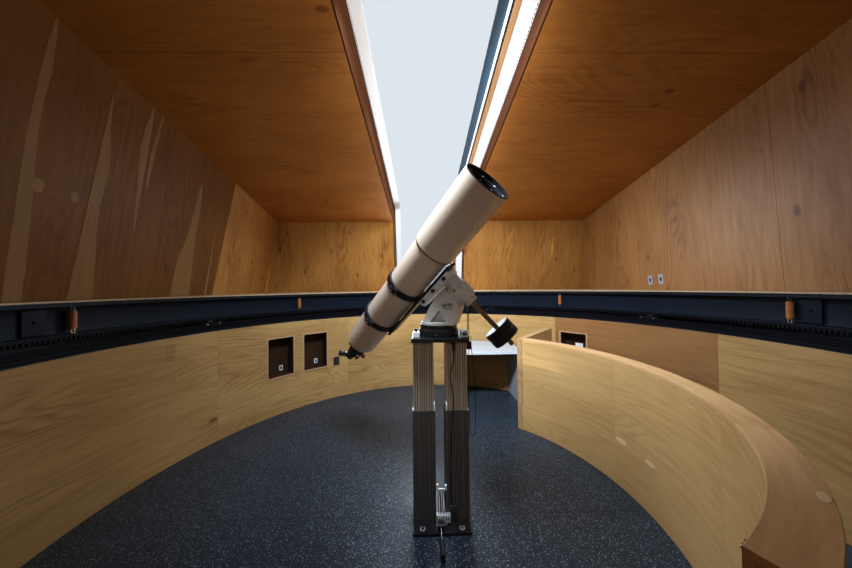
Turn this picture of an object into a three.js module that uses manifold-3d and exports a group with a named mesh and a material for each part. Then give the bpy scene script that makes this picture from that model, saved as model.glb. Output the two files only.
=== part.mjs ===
// A small observatory: a round building with an observing floor, a square-cornered turret that turns
// on a steel ring, a shutter that slides off its slit, and a refractor on a rising pier.
// Millimetres. +Z is up, the origin is on the ground under the centre of the round wall, and +Y is
// the way the slit faces.

import * as THREE from 'three';
import { mergeVertices } from 'three/addons/utils/BufferGeometryUtils.js';
import { ConvexGeometry } from 'three/addons/geometries/ConvexGeometry.js';
import Module from 'manifold-3d';

const wasm = await Module();
wasm.setup();

// Driving dimensions

const GAP = 0.3; // between pieces that touch
const SLAB_TOP = 120;
const STOREY = 2700;
const FLOOR = SLAB_TOP + STOREY; // top of the observing floor
const FLOOR_THICK = 220;

const DRUM_IN = 2400;
const DRUM_OUT = 2600;
const DRUM_TOP = FLOOR + 1116;
const DRUM_SEGMENTS = 6;
const ARC_STEP = 3.75; // degrees between the facets of a round face

const DOOR_WIDE = 960;
const DOOR_HIGH = 2080;
const DOOR_FRAME = 45;
const DOOR_LEAF = 50;

const NICHE_DEEP = 150;
const NICHE_ARC = 8;
const NICHE_LOW = 443;
const NICHE_HIGH = 946;
const NICHE_ANGLES = [141.2, 130.8, 40.7];

const WELL_IN = 1511;
const WELL_START = -65.3;
const WELL_END = 47;
const GUARD_IN = 1398;
const GUARD_HIGH = 963;
const GUARD_CAP = 18;
const GUARD_END = 90; // thickness of the return wall at the far end of the stairwell

const CURB_IN = 2408;
const CURB_OUT = 2560;
const CURB_HIGH = 72;
const CARRIAGES = 8;
const CARRIAGE_LONG = 190;
const WHEEL_R = 24;

const RING_IN = 2460;
const RING_WEB = 2512;
const RING_OUT = 2524;
const RING_LOW = FLOOR + 1245;
const RING_HIGH = 202;
const RING_FLANGE = 12;
const RACK_LOW = 31; // how far the toothed strip hangs below the ring
const RACK_OUT = 2482;
const HANDLES = 8;
const GRIP_R = 19;
const GRIP_LONG = 120;
const GRIP_AT = 2482; // radius of the row of handles
const PIN_R = 7.5;

const BASE_THICK = 28; // plywood deck on the ring that carries the turret's walls

// The turret's five inner faces: each one's distance from the axis where it meets the deck, how far
// it turns from square in plan, and how far it leans in, both as slopes.
const LEFT = { at: 2563, taper: 0.0965, lean: 0.1592 };
const RIGHT = { at: 2693, taper: 0.064, lean: 0.0665 };
const FAR = { at: 3216, lean: 0.2475 };
const NEAR = { at: 2780, lean: 0.2 };
const CEILING_AT = 1537 + 1597; // over the axis, above the observing floor
const CEILING_FALL = 0.1453;
const TURRET_THICK = 150;

const SLIT_LEFT = -613;
const SLIT_RIGHT = 663;
const SLIT_BACK = -1150; // the slit runs this far behind the axis
const SLIT_SILL = 90; // above the deck
const CURB_WALL = 36;
const CURB_LEFT = 376; // top of the left upstand, from the turret's inner face
const CURB_RIGHT = 170;
const FLANGE_THICK = 26; // on top of the left upstand, and it reaches over the slit
const FLANGE_REACH = 108;

// The shutter: heights are from the turret's inner face, and it stands open to the right.
const SHUTTER_LOW = 180;
const SHUTTER_THICK = 90;
const SHUTTER_EDGE_HIGH = 470; // top of the deep beam along its left edge
const SHUTTER_EDGE_WIDE = 60;
const SHUTTER_TRAVEL = 950;
const SHUTTER_LEFT = 465;
const SHUTTER_RIGHT = SLIT_RIGHT + 110 + SHUTTER_TRAVEL;
const SHUTTER_LAP = 110;
const RAIL_WIDE = 60;
const RAIL_LEFT = -600;
const RAIL_RIGHT = SHUTTER_RIGHT + 30;

const PLATE_SIZE = 370;
const PLATE_THICK = 20;
const COLUMN_AT = 109; // from the pier's middle to a column's middle
const LOWER_WIDE = 149;
const LOWER_DEEP = 214;
const LOWER_TOP = 733;
const SLIDE_GAP = 0.4; // round a column that slides in another
const UPPER_WIDE = 135;
const UPPER_DEEP = 200;
const LOWER_WALL = (LOWER_WIDE - UPPER_WIDE) / 2 - SLIDE_GAP;
const UPPER_BOTTOM = 380;
const TOP_PLATE_LOW = 1187;
const TOP_PLATE_THICK = 26;
const TOP_PLATE_WIDE = 370;
const TOP_PLATE_DEEP = 330;

const LEVER_Z = FLOOR + 44;
const LEVER_X = -10;

const MOUNT_BASE_R = 135;
const MOUNT_BASE_HIGH = 74;
const LATITUDE = 43; // degrees the polar axis rises
const POLE_WAY = -20.3; // degrees from +X to the side that the polar axis rises towards
const AXES_MEET = [149, -59, FLOOR + 1513];
const HEAD_LOW = -62; // where the turning head starts, along the polar axis from where the axes meet
const HEAD_R = 62;
const CROSS_R = 57;
const CASTING_WIDE = 170;
const CASTING_ROUND = 93; // round the polar axis, where the saddle turns past the casting
const POCKET_DEEP = 55;

// The telescope, measured along its middle line from where the declination axis crosses it
const TUBE_OUT = 322; // from where the axes meet to the tube's middle line
const TUBE_DIR = [0.53, -0.591, 0.608];
const TUBE_R = 138;
const TUBE_WALL = 5;
const TUBE_BACK = -1130;
const SHIELD_R = 148.5;
const SHIELD_START = 91;
const SHIELD_END = 623;
const LENS_IN = 28; // the lens stands this far inside the shield's mouth
const LENS_THICK = 24;
const BANDS_AT = [-721, -302]; // the two rings that hold the tube
const BAND_LONG = 50;
const BAND_R = 152;
const BAR_THICK = 18; // the bar that joins the rings
const BAR_WIDE = 120;
const BAR_ENDS = [-765, 84];
const SADDLE_ENDS = [-291, 51];
const SADDLE_OUT = 221; // from the tube's middle line to the saddle's far side
const SADDLE_WIDE = 110;
const FOCUSER_BACK = -1400;

const DESK_LEFT = 385;
const DESK_RIGHT = 1180;
const DESK_FRONT = 1545;
const DESK_TOP = FLOOR + 706;
const DESK_THICK = 30;
const GABLE_THICK = 22;

// Helpers

const rad = (degrees) => (degrees * Math.PI) / 180;

function toSolid(geometry) {
  const bare = geometry.clone();
  bare.deleteAttribute('normal');
  bare.deleteAttribute('uv');
  const merged = mergeVertices(bare, 1e-3);
  return new wasm.Manifold(
    new wasm.Mesh({
      numProp: 3,
      vertProperties: new Float32Array(merged.attributes.position.array),
      triVerts: new Uint32Array(merged.index.array),
    }),
  );
}

function toGeometry(solid) {
  const data = solid.getMesh();
  const geometry = new THREE.BufferGeometry();
  geometry.setAttribute('position', new THREE.BufferAttribute(new Float32Array(data.vertProperties), 3));
  geometry.setIndex(new THREE.BufferAttribute(new Uint32Array(data.triVerts), 1));
  geometry.computeVertexNormals();
  return geometry;
}

const without = (body, ...cuts) => toGeometry(cuts.reduce((s, c) => s.subtract(toSolid(c)), toSolid(body)));
const joined = (first, ...rest) => toGeometry(rest.reduce((s, c) => s.add(toSolid(c)), toSolid(first)));

function box(x0, x1, y0, y1, z0, z1) {
  const geometry = new THREE.BoxGeometry(x1 - x0, y1 - y0, z1 - z0);
  geometry.translate((x0 + x1) / 2, (y0 + y1) / 2, (z0 + z1) / 2);
  return geometry;
}

function arcPoints(radius, from, to) {
  const steps = Math.max(1, Math.round(Math.abs(to - from) / ARC_STEP));
  return Array.from({ length: steps + 1 }, (_, i) => {
    const a = rad(from + ((to - from) * i) / steps);
    return new THREE.Vector2(radius * Math.cos(a), radius * Math.sin(a));
  });
}

function upright(points, z0, z1) {
  const shape = new THREE.Shape(points);
  const geometry = new THREE.ExtrudeGeometry(shape, { depth: z1 - z0, bevelEnabled: false });
  geometry.translate(0, 0, z0);
  return geometry;
}

const arcWall = (rIn, rOut, from, to, z0, z1) =>
  upright([...arcPoints(rOut, from, to), ...arcPoints(rIn, to, from)], z0, z1);

function ringOf(profile) {
  const points = profile.map(([r, z]) => new THREE.Vector2(r, z));
  points.push(points[0].clone());
  const geometry = new THREE.LatheGeometry(points, 360 / ARC_STEP);
  geometry.rotateX(Math.PI / 2);
  return geometry;
}

// A box in a frame turned to an angle: along is measured outwards, across is measured round the wall.
function radialBox(angle, rIn, rOut, across, z0, z1) {
  const geometry = box(rIn, rOut, -across / 2, across / 2, z0, z1);
  geometry.rotateZ(rad(angle));
  return geometry;
}

function rod(from, to, radius, sides = 20, endRadius = radius) {
  const a = new THREE.Vector3(...from);
  const b = new THREE.Vector3(...to);
  const geometry = new THREE.CylinderGeometry(endRadius, radius, a.distanceTo(b), sides);
  const turn = new THREE.Quaternion().setFromUnitVectors(
    new THREE.Vector3(0, 1, 0),
    b.clone().sub(a).normalize(),
  );
  geometry.applyQuaternion(turn);
  const middle = a.clone().add(b).multiplyScalar(0.5);
  geometry.translate(middle.x, middle.y, middle.z);
  return geometry;
}

// Half-spaces n·p <= d, and the convex solid inside a set of them.
const plane = (x, y, z, d) => ({ n: new THREE.Vector3(x, y, z), d });
const flip = ({ n, d }) => ({ n: n.clone().negate(), d: -d });
const pushed = ({ n, d }, by) => ({ n, d: d + by });

function convexInside(planes) {
  const corners = [];
  const inside = (p) => planes.every(({ n, d }) => n.dot(p) <= d + 1e-6);
  for (let i = 0; i < planes.length; i += 1) {
    for (let j = i + 1; j < planes.length; j += 1) {
      for (let k = j + 1; k < planes.length; k += 1) {
        const [a, b, c] = [planes[i], planes[j], planes[k]];
        const bc = b.n.clone().cross(c.n);
        const volume = a.n.dot(bc);
        if (Math.abs(volume) < 1e-9) continue;
        const point = bc.multiplyScalar(a.d);
        point.addScaledVector(c.n.clone().cross(a.n), b.d);
        point.addScaledVector(a.n.clone().cross(b.n), c.d);
        point.divideScalar(volume);
        if (inside(point)) corners.push(point);
      }
    }
  }
  return new ConvexGeometry(corners);
}

// Materials

const finish = (color, roughness, metalness = 0) =>
  new THREE.MeshStandardMaterial({ color, roughness, metalness });
const concrete = finish(0x9a9892, 0.9);
const cladding = finish(0x7d858c, 0.5, 0.6);
const plywood = finish(0xc08a55, 0.55);
const rubberFloor = finish(0x26282c, 0.8);
const steel = finish(0x1c2430, 0.45, 0.5);
const whiteTrim = finish(0xe8e8e6, 0.5);
const doorPaint = finish(0x4a5157, 0.5, 0.3);
const bronze = finish(0x8d8177, 0.4, 0.8);
const blackMetal = finish(0x17181a, 0.45, 0.5);
const castGrey = finish(0xb9b2a6, 0.5, 0.3);
const cream = finish(0xe9e2d6, 0.4);

const observatory = new THREE.Group();

function piece(name, geometry, material) {
  const mesh = new THREE.Mesh(geometry, material);
  mesh.name = name;
  observatory.add(mesh);
}

// Building

function groundSlab() {
  const rim = arcPoints(DRUM_OUT, 0, 360);
  rim.pop();
  piece('ground_slab', upright(rim, 0, SLAB_TOP), concrete);
}

function drumWalls() {
  const span = 360 / DRUM_SEGMENTS;
  for (let i = 0; i < DRUM_SEGMENTS; i += 1) {
    const middle = -90 + span * i;
    const slack = ((GAP / 2 / DRUM_IN) * 180) / Math.PI;
    const wall = arcWall(
      DRUM_IN,
      DRUM_OUT,
      middle - span / 2 + slack,
      middle + span / 2 - slack,
      SLAB_TOP + GAP,
      DRUM_TOP,
    );
    const cuts = NICHE_ANGLES.filter((a) => Math.abs(((a - middle + 540) % 360) - 180) < span / 2).map((a) =>
      radialBox(a, DRUM_IN - 60, DRUM_IN + NICHE_DEEP, nicheWide(), FLOOR + NICHE_LOW, FLOOR + NICHE_HIGH),
    );
    if (i === 0) cuts.push(doorway());
    piece(`drum_wall_${i + 1}`, cuts.length ? without(wall, ...cuts) : wall, cladding);
  }
}

function doorway() {
  return box(-DOOR_WIDE / 2, DOOR_WIDE / 2, -DRUM_OUT - 50, 500 - DRUM_IN, 0, SLAB_TOP + DOOR_HIGH);
}

function nicheWide() {
  return rad(NICHE_ARC) * DRUM_IN;
}

function entrance() {
  const side = DOOR_WIDE / 2 - GAP;
  const top = SLAB_TOP + DOOR_HIGH - GAP;
  const front = -DRUM_OUT + 40;
  const back = front + 120;
  const hole = box(-side + DOOR_FRAME, side - DOOR_FRAME, front - 10, back + 10, 0, top - DOOR_FRAME);
  const frame = without(box(-side, side, front, back, SLAB_TOP + GAP, top), hole);
  piece('door_frame', frame, doorPaint);
  const leafSide = side - DOOR_FRAME - 3;
  piece(
    'entrance_door',
    box(-leafSide, leafSide, front + 30, front + 30 + DOOR_LEAF, SLAB_TOP + GAP, top - DOOR_FRAME - 3),
    doorPaint,
  );
}

function observingFloor() {
  const low = FLOOR - FLOOR_THICK;
  const rim = DRUM_IN - GAP;
  piece('observing_floor_left', upright(arcPoints(rim, 90, 270), low, FLOOR), rubberFloor);
  const half = upright(arcPoints(rim, -90, 90), low, FLOOR);
  half.translate(GAP, 0, 0);
  const well = arcWall(WELL_IN, DRUM_OUT, WELL_START, WELL_END, low - 10, FLOOR + 10);
  const outside = ringOf([
    [rim, low - 20],
    [DRUM_OUT, low - 20],
    [DRUM_OUT, FLOOR + 20],
    [rim, FLOOR + 20],
  ]);
  piece('observing_floor_right', without(half, well, outside), rubberFloor);
}

function stairGuard() {
  const low = FLOOR + GAP;
  const capLow = FLOOR + GUARD_HIGH - GUARD_CAP;
  const endAngle = WELL_END + (GUARD_END / DRUM_IN) * (180 / Math.PI);
  piece(
    'stair_guard',
    arcWall(GUARD_IN, WELL_IN - GAP, WELL_START, WELL_END - 0.1, low, capLow - GAP),
    plywood,
  );
  piece(
    'stair_guard_cap',
    arcWall(GUARD_IN, WELL_IN, WELL_START, WELL_END - 0.1, capLow, capLow + GUARD_CAP),
    plywood,
  );
  piece(
    'stair_guard_return',
    arcWall(GUARD_IN, DRUM_IN - 3, WELL_END, endAngle, low, capLow + GUARD_CAP),
    plywood,
  );
}

function curbRail() {
  const low = DRUM_TOP + GAP;
  const top = DRUM_TOP + CURB_HIGH;
  const ring = ringOf([
    [CURB_IN, low],
    [CURB_OUT, low],
    [CURB_OUT, low + 14],
    [CURB_IN + 60, low + 14],
    [CURB_IN + 60, top],
    [CURB_IN + 14, top],
    [CURB_IN + 14, low + 14],
    [CURB_IN, low + 14],
  ]);
  const blocks = [];
  for (let i = 0; i < CARRIAGES; i += 1) {
    const angle = 22.5 + (360 / CARRIAGES) * i;
    blocks.push(radialBox(angle, CURB_IN + 30, RING_OUT, CARRIAGE_LONG, low + 10, RING_LOW - RACK_LOW - 5));
    blocks.push(radialBox(angle, RACK_OUT + 5, RING_OUT, CARRIAGE_LONG - 60, low + 10, RING_LOW - 14));
    const axle = RING_LOW - GAP - WHEEL_R;
    const wheel = rod([RACK_OUT + 6, 0, axle], [RING_OUT - 1, 0, axle], WHEEL_R, 20);
    wheel.rotateZ(rad(angle));
    blocks.push(wheel);
  }
  piece('curb_rail', joined(ring, ...blocks), steel);
}

// Turret

const zDeck = RING_LOW + RING_HIGH + GAP;
const zWalls = zDeck + BASE_THICK + GAP;

function turretFaces() {
  const zFit = RING_LOW + RING_HIGH;
  return {
    left: plane(-1, -LEFT.taper, LEFT.lean, LEFT.at + LEFT.lean * zFit),
    right: plane(1, -RIGHT.taper, RIGHT.lean, RIGHT.at + RIGHT.lean * zFit),
    far: plane(0, 1, FAR.lean, FAR.at + FAR.lean * zFit),
    near: plane(0, -1, NEAR.lean, NEAR.at + NEAR.lean * zFit),
    roof: plane(0, CEILING_FALL, 1, FLOOR + CEILING_AT),
  };
}

function unit({ n, d }) {
  const length = n.length();
  return { n: n.clone().divideScalar(length), d: d / length };
}

function turretShell(name) {
  const faces = Object.fromEntries(Object.entries(turretFaces()).map(([k, f]) => [k, unit(f)]));
  const own = faces[name];
  const limits = [flip(own), pushed(own, TURRET_THICK), plane(0, 0, -1, -zWalls)];
  for (const [other, face] of Object.entries(faces)) {
    if (other === name) continue;
    const n = face.n.clone().sub(own.n);
    limits.push({ n, d: face.d - own.d - (GAP / 2) * n.length() });
  }
  return convexInside(limits);
}

const BIG = 9000;

function slitCut(grow = 0) {
  return box(SLIT_LEFT - grow, SLIT_RIGHT + grow, SLIT_BACK - grow, BIG, zWalls + SLIT_SILL - grow, BIG);
}

function turretWalls() {
  piece('turret_wall_left', turretShell('left'), cladding);
  piece('turret_wall_right', turretShell('right'), cladding);
  piece('turret_wall_near', turretShell('near'), cladding);
  const far = turretShell('far');
  piece('turret_wall_far', without(far, slitCut()), cladding);
  const roof = turretShell('roof');
  const middle = (SLIT_LEFT + SLIT_RIGHT) / 2;
  const leftOnly = box(middle - GAP / 2, BIG, -BIG, BIG, 0, BIG);
  const rightOnly = box(-BIG, middle + GAP / 2, -BIG, BIG, 0, BIG);
  piece('turret_roof_left', without(roof, slitCut(), leftOnly), cladding);
  piece('turret_roof_right', without(roof, slitCut(), rightOnly), cladding);
}

// The upstand follows the roof and the far wall, just outside the slit.
function slabOver(low, high, x0, x1, yLow, yHigh, zLow) {
  const { far, roof } = turretFaces();
  const faces = [unit(far), unit(roof)];
  const sides = [plane(1, 0, 0, x1), plane(-1, 0, 0, -x0), plane(0, -1, 0, -yLow), plane(0, 1, 0, yHigh)];
  const outer = convexInside([...faces.map((f) => pushed(f, high)), ...sides, plane(0, 0, -1, -zLow)]);
  const inner = convexInside([
    ...faces.map((f) => pushed(f, low)),
    plane(1, 0, 0, x1 + 50),
    plane(-1, 0, 0, -x0 + 50),
    plane(0, -1, 0, -yLow + 50),
    plane(0, 1, 0, yHigh + 50),
    plane(0, 0, -1, -zLow + 50),
  ]);
  return without(outer, inner);
}

function slitUpstand() {
  const low = TURRET_THICK + GAP;
  const strip = (from, to, x0, x1) =>
    slabOver(from, to, x0, x1, SLIT_BACK - CURB_WALL, BIG, zWalls + SLIT_SILL - CURB_WALL);
  const flange = strip(CURB_LEFT - FLANGE_THICK, CURB_LEFT, SLIT_LEFT - CURB_WALL, SLIT_LEFT + FLANGE_REACH);
  const left = strip(low, CURB_LEFT, SLIT_LEFT - CURB_WALL, SLIT_LEFT);
  piece('slit_upstand_left', joined(left, flange), whiteTrim);
  piece('slit_upstand_right', strip(low, CURB_RIGHT, SLIT_RIGHT, SLIT_RIGHT + CURB_WALL), whiteTrim);
}

function shutter() {
  const part = (high, x1) =>
    slabOver(SHUTTER_LOW, high, SHUTTER_LEFT, x1, SLIT_BACK - SHUTTER_LAP, BIG, zWalls - 40);
  const panel = part(SHUTTER_LOW + SHUTTER_THICK, SHUTTER_RIGHT);
  const edge = part(SHUTTER_EDGE_HIGH, SHUTTER_LEFT + SHUTTER_EDGE_WIDE);
  piece('shutter', joined(panel, edge), cladding);
}

// Two rails cross the turret, one behind the slit and one under it, and carry the shutter.
function shutterRails() {
  const { far, roof } = turretFaces();
  const low = TURRET_THICK + GAP;
  const high = SHUTTER_LOW - GAP;
  const ends = [plane(1, 0, 0, RAIL_RIGHT), plane(-1, 0, 0, -RAIL_LEFT)];
  const between = (face) => [flip(pushed(unit(face), low)), pushed(unit(face), high)];
  const yBack = SLIT_BACK - CURB_WALL - 10;
  piece(
    'shutter_rail_near',
    convexInside([...ends, ...between(roof), plane(0, 1, 0, yBack), plane(0, -1, 0, RAIL_WIDE - yBack)]),
    steel,
  );
  const zTop = zWalls + SLIT_SILL - CURB_WALL;
  piece(
    'shutter_rail_far',
    convexInside([...ends, ...between(far), plane(0, 0, 1, zTop - 4), plane(0, 0, -1, RAIL_WIDE - zTop + 4)]),
    steel,
  );
}

function turretBase() {
  const faces = turretFaces();
  const outside = [faces.left, faces.right, faces.far, faces.near].map((f) => pushed(unit(f), TURRET_THICK));
  const deck = convexInside([...outside, plane(0, 0, -1, -zDeck), plane(0, 0, 1, zDeck + BASE_THICK)]);
  const rim = arcPoints(RING_IN, 0, 360);
  rim.pop();
  const hole = upright(rim, zDeck - 20, zDeck + BASE_THICK + 20);
  const whole = toSolid(deck).subtract(toSolid(hole));
  const half = (x0, x1) => toGeometry(whole.intersect(toSolid(box(x0, x1, -BIG, BIG, 0, BIG))));
  piece('turret_base_left', half(-BIG, -GAP / 2), plywood);
  piece('turret_base_right', half(GAP / 2, BIG), plywood);
}

function turretRing() {
  const top = RING_LOW + RING_HIGH;
  const channel = ringOf([
    [RING_IN, RING_LOW - RACK_LOW],
    [RACK_OUT, RING_LOW - RACK_LOW],
    [RACK_OUT, RING_LOW],
    [RING_OUT, RING_LOW],
    [RING_OUT, top],
    [RING_IN, top],
    [RING_IN, top - RING_FLANGE],
    [RING_WEB, top - RING_FLANGE],
    [RING_WEB, RING_LOW + RING_FLANGE],
    [RING_IN, RING_LOW + RING_FLANGE],
  ]);
  let whole = toSolid(channel);
  for (let i = 0; i < HANDLES; i += 1) {
    const turn = rad((360 / HANDLES) * i);
    const middle = RING_LOW + RING_HIGH / 2;
    const pin = rod([GRIP_AT, 0, RING_LOW + 4], [GRIP_AT, 0, top - 4], PIN_R, 12);
    const grip = rod([GRIP_AT, 0, middle - GRIP_LONG / 2], [GRIP_AT, 0, middle + GRIP_LONG / 2], GRIP_R, 20);
    pin.rotateZ(turn);
    grip.rotateZ(turn);
    whole = whole.add(toSolid(pin)).add(toSolid(grip));
  }
  const turn = 11.25;
  const half = (x0, x1) => {
    const side = box(x0, x1, -BIG, BIG, 0, BIG);
    side.rotateZ(rad(turn));
    return toGeometry(whole.intersect(toSolid(side)));
  };
  piece('turret_ring_left', half(-BIG, -GAP / 2), steel);
  piece('turret_ring_right', half(GAP / 2, BIG), steel);
}

// Pier

function pier() {
  const half = PLATE_SIZE / 2;
  piece('pier_base_plate', box(-half, half, -half, half, FLOOR + GAP, FLOOR + PLATE_THICK), blackMetal);
  for (const [side, name] of [[-1, 'left'], [1, 'right']]) {
    const x = side * COLUMN_AT;
    const outer = box(
      x - LOWER_WIDE / 2,
      x + LOWER_WIDE / 2,
      -LOWER_DEEP / 2,
      LOWER_DEEP / 2,
      FLOOR + PLATE_THICK + GAP,
      FLOOR + LOWER_TOP,
    );
    const bore = box(
      x - LOWER_WIDE / 2 + LOWER_WALL,
      x + LOWER_WIDE / 2 - LOWER_WALL,
      -LOWER_DEEP / 2 + LOWER_WALL,
      LOWER_DEEP / 2 - LOWER_WALL,
      FLOOR + PLATE_THICK + 10,
      FLOOR + LOWER_TOP + 10,
    );
    piece(`pier_lower_column_${name}`, without(outer, bore), bronze);
    piece(
      `pier_upper_column_${name}`,
      box(
        x - UPPER_WIDE / 2,
        x + UPPER_WIDE / 2,
        -UPPER_DEEP / 2,
        UPPER_DEEP / 2,
        FLOOR + UPPER_BOTTOM,
        FLOOR + TOP_PLATE_LOW - GAP,
      ),
      bronze,
    );
  }
  piece(
    'pier_top_plate',
    box(
      -TOP_PLATE_WIDE / 2,
      TOP_PLATE_WIDE / 2,
      -TOP_PLATE_DEEP / 2,
      TOP_PLATE_DEEP / 2,
      FLOOR + TOP_PLATE_LOW,
      FLOOR + TOP_PLATE_LOW + TOP_PLATE_THICK,
    ),
    blackMetal,
  );
}

// A lever lies on the pier's base plate and points to the near side.
function pierLever() {
  const low = FLOOR + PLATE_THICK + GAP;
  const block = box(LEVER_X - 20, LEVER_X + 20, -178, -128, low, LEVER_Z + 14);
  const bar = rod([LEVER_X, -150, LEVER_Z], [LEVER_X, -290, LEVER_Z], 8, 16);
  const grip = rod([LEVER_X, -262, LEVER_Z], [LEVER_X, -357, LEVER_Z], 15, 20);
  piece('pier_lever', joined(block, bar, grip), blackMetal);
}

// A worktop on two gables against the round wall
function desk() {
  const round = upright(arcPoints(DRUM_IN - GAP, 0, 360).slice(0, -1), FLOOR, DESK_TOP);
  const top = box(DESK_LEFT, DESK_RIGHT, DESK_FRONT, BIG, DESK_TOP - DESK_THICK, DESK_TOP);
  const gable = (x) => box(x, x + GABLE_THICK, DESK_FRONT + 40, BIG, FLOOR + GAP, DESK_TOP - DESK_THICK + 1);
  const shape = joined(top, gable(DESK_LEFT + 10), gable(DESK_RIGHT - 10 - GABLE_THICK));
  piece('desk', toGeometry(toSolid(shape).intersect(toSolid(round))), whiteTrim);
}

// Mount

const meet = new THREE.Vector3(...AXES_MEET);
const polar = new THREE.Vector3(
  Math.cos(rad(LATITUDE)) * Math.cos(rad(POLE_WAY)),
  Math.cos(rad(LATITUDE)) * Math.sin(rad(POLE_WAY)),
  Math.sin(rad(LATITUDE)),
);
const tubeDir = new THREE.Vector3(...TUBE_DIR).normalize();
const decAxis = polar.clone().cross(tubeDir).normalize(); // away from the tube
const tubeAcross = decAxis.clone().cross(tubeDir).normalize();
const along = (origin, direction, by) => origin.clone().addScaledVector(direction, by);
const tubeMiddle = along(meet, decAxis, -TUBE_OUT);
const eyeWay = tubeAcross.clone().sub(decAxis).normalize(); // the eyepiece looks this way
const rodAlong = (origin, direction, a, b, ...rest) =>
  rod(along(origin, direction, a).toArray(), along(origin, direction, b).toArray(), ...rest);

// An outline in the upright plane of the polar axis, as a slab from one side of that plane to another.
function castSlab(outline, from, to) {
  const shape = new THREE.Shape(outline.map(([x, z]) => new THREE.Vector2(x, z)));
  const geometry = new THREE.ExtrudeGeometry(shape, { depth: to - from, bevelEnabled: false });
  geometry.rotateX(Math.PI / 2);
  geometry.translate(0, to, 0);
  geometry.rotateZ(rad(POLE_WAY));
  return geometry;
}

function mount() {
  const low = FLOOR + TOP_PLATE_LOW + TOP_PLATE_THICK + GAP;
  const top = low + MOUNT_BASE_HIGH;
  const wide = rod([0, 0, low], [0, 0, low + 40], MOUNT_BASE_R, 40);
  const narrow = rod([0, 0, low + 30], [0, 0, top], MOUNT_BASE_R - 7, 40);
  piece('mount_base', joined(wide, narrow), blackMetal);
  const body = castSlab(
    [
      [-95, top + GAP],
      [128, top + GAP],
      [166, FLOOR + 1408],
      [166, FLOOR + 1500],
      [56, FLOOR + 1560],
      [10, FLOOR + 1498],
    ],
    -CASTING_WIDE / 2,
    CASTING_WIDE / 2,
  );
  const foot = rod([0, 0, top + GAP], [0, 0, top + 14], MOUNT_BASE_R - 15, 40);
  const pockets = [
    [[-34, 1307], [76, 1307], [32, 1384]],
    [[44, 1420], [66, 1392], [122, 1396], [116, 1434]],
  ].flatMap((corners) => {
    const outline = corners.map(([x, z]) => [x, FLOOR + z]);
    const half = CASTING_WIDE / 2;
    const [mouth, back] = [half + 5, half - POCKET_DEEP];
    return [castSlab(outline, -mouth, -back), castSlab(outline, back, mouth)];
  });
  const head = rodAlong(meet, polar, HEAD_LOW, 300, 300, 24);
  const sweep = box(-340, HEAD_LOW + 5, 0, 400, -400, 400);
  const tubeSide = decAxis.clone().negate();
  const frame = new THREE.Matrix4().makeBasis(polar, tubeSide, polar.clone().cross(tubeSide));
  sweep.applyMatrix4(frame.setPosition(meet));
  const beyond = without(sweep, rodAlong(meet, polar, -350, HEAD_LOW + 10, CASTING_ROUND, 40));
  const cuts = [...pockets, head, beyond];
  const whole = cuts.reduce((s, c) => s.subtract(toSolid(c)), toSolid(body).add(toSolid(foot)));
  piece('mount_casting', toGeometry(whole), castGrey);
}

function polarHead() {
  const hub = rodAlong(meet, polar, HEAD_LOW + GAP, 66, HEAD_R, 32);
  const flange = rodAlong(meet, polar, HEAD_LOW + GAP, HEAD_LOW + 18, HEAD_R + 16, 32);
  const cross = rodAlong(meet, decAxis, SADDLE_OUT - TUBE_OUT + GAP, 110, CROSS_R, 32);
  piece('polar_head', joined(hub, flange, cross), castGrey);
  piece('counterweight_shaft', rodAlong(meet, decAxis, 110 + GAP, 480, 16, 16), castGrey);
  const weight = rodAlong(meet, decAxis, 330, 430, 95, 32);
  const bore = rodAlong(meet, decAxis, 300, 460, 16 + GAP, 16);
  piece('counterweight', without(weight, bore), blackMetal);
}

// Telescope

// A box in the tube's own frame: along the tube, away from it towards the mount, and across it.
function tubeBox(from, to, out0, out1, wide) {
  const geometry = box(from, to, out0, out1, -wide / 2, wide / 2);
  const frame = new THREE.Matrix4().makeBasis(tubeDir, decAxis, tubeDir.clone().cross(decAxis));
  geometry.applyMatrix4(frame.setPosition(tubeMiddle));
  return geometry;
}

function tubeHolders() {
  const bar = tubeBox(...BAR_ENDS, TUBE_R + 4, BAND_R + BAR_THICK, BAR_WIDE);
  const half = BAND_LONG / 2;
  const bands = BANDS_AT.map((at) => rodAlong(tubeMiddle, tubeDir, at - half, at + half, BAND_R, 40));
  const bore = rodAlong(tubeMiddle, tubeDir, -900, 200, TUBE_R + GAP, 40);
  const gutter = rodAlong(tubeMiddle, tubeDir, -900, 200, BAND_R - 1, 40);
  const plate = toSolid(bar).subtract(toSolid(gutter));
  const whole = bands.reduce((s, b) => s.add(toSolid(b)), plate).subtract(toSolid(bore));
  piece('tube_rings', toGeometry(whole), blackMetal);
  const inner = BAND_R + BAR_THICK + GAP;
  piece('saddle', tubeBox(...SADDLE_ENDS, inner, SADDLE_OUT, SADDLE_WIDE), whiteTrim);
}

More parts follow.
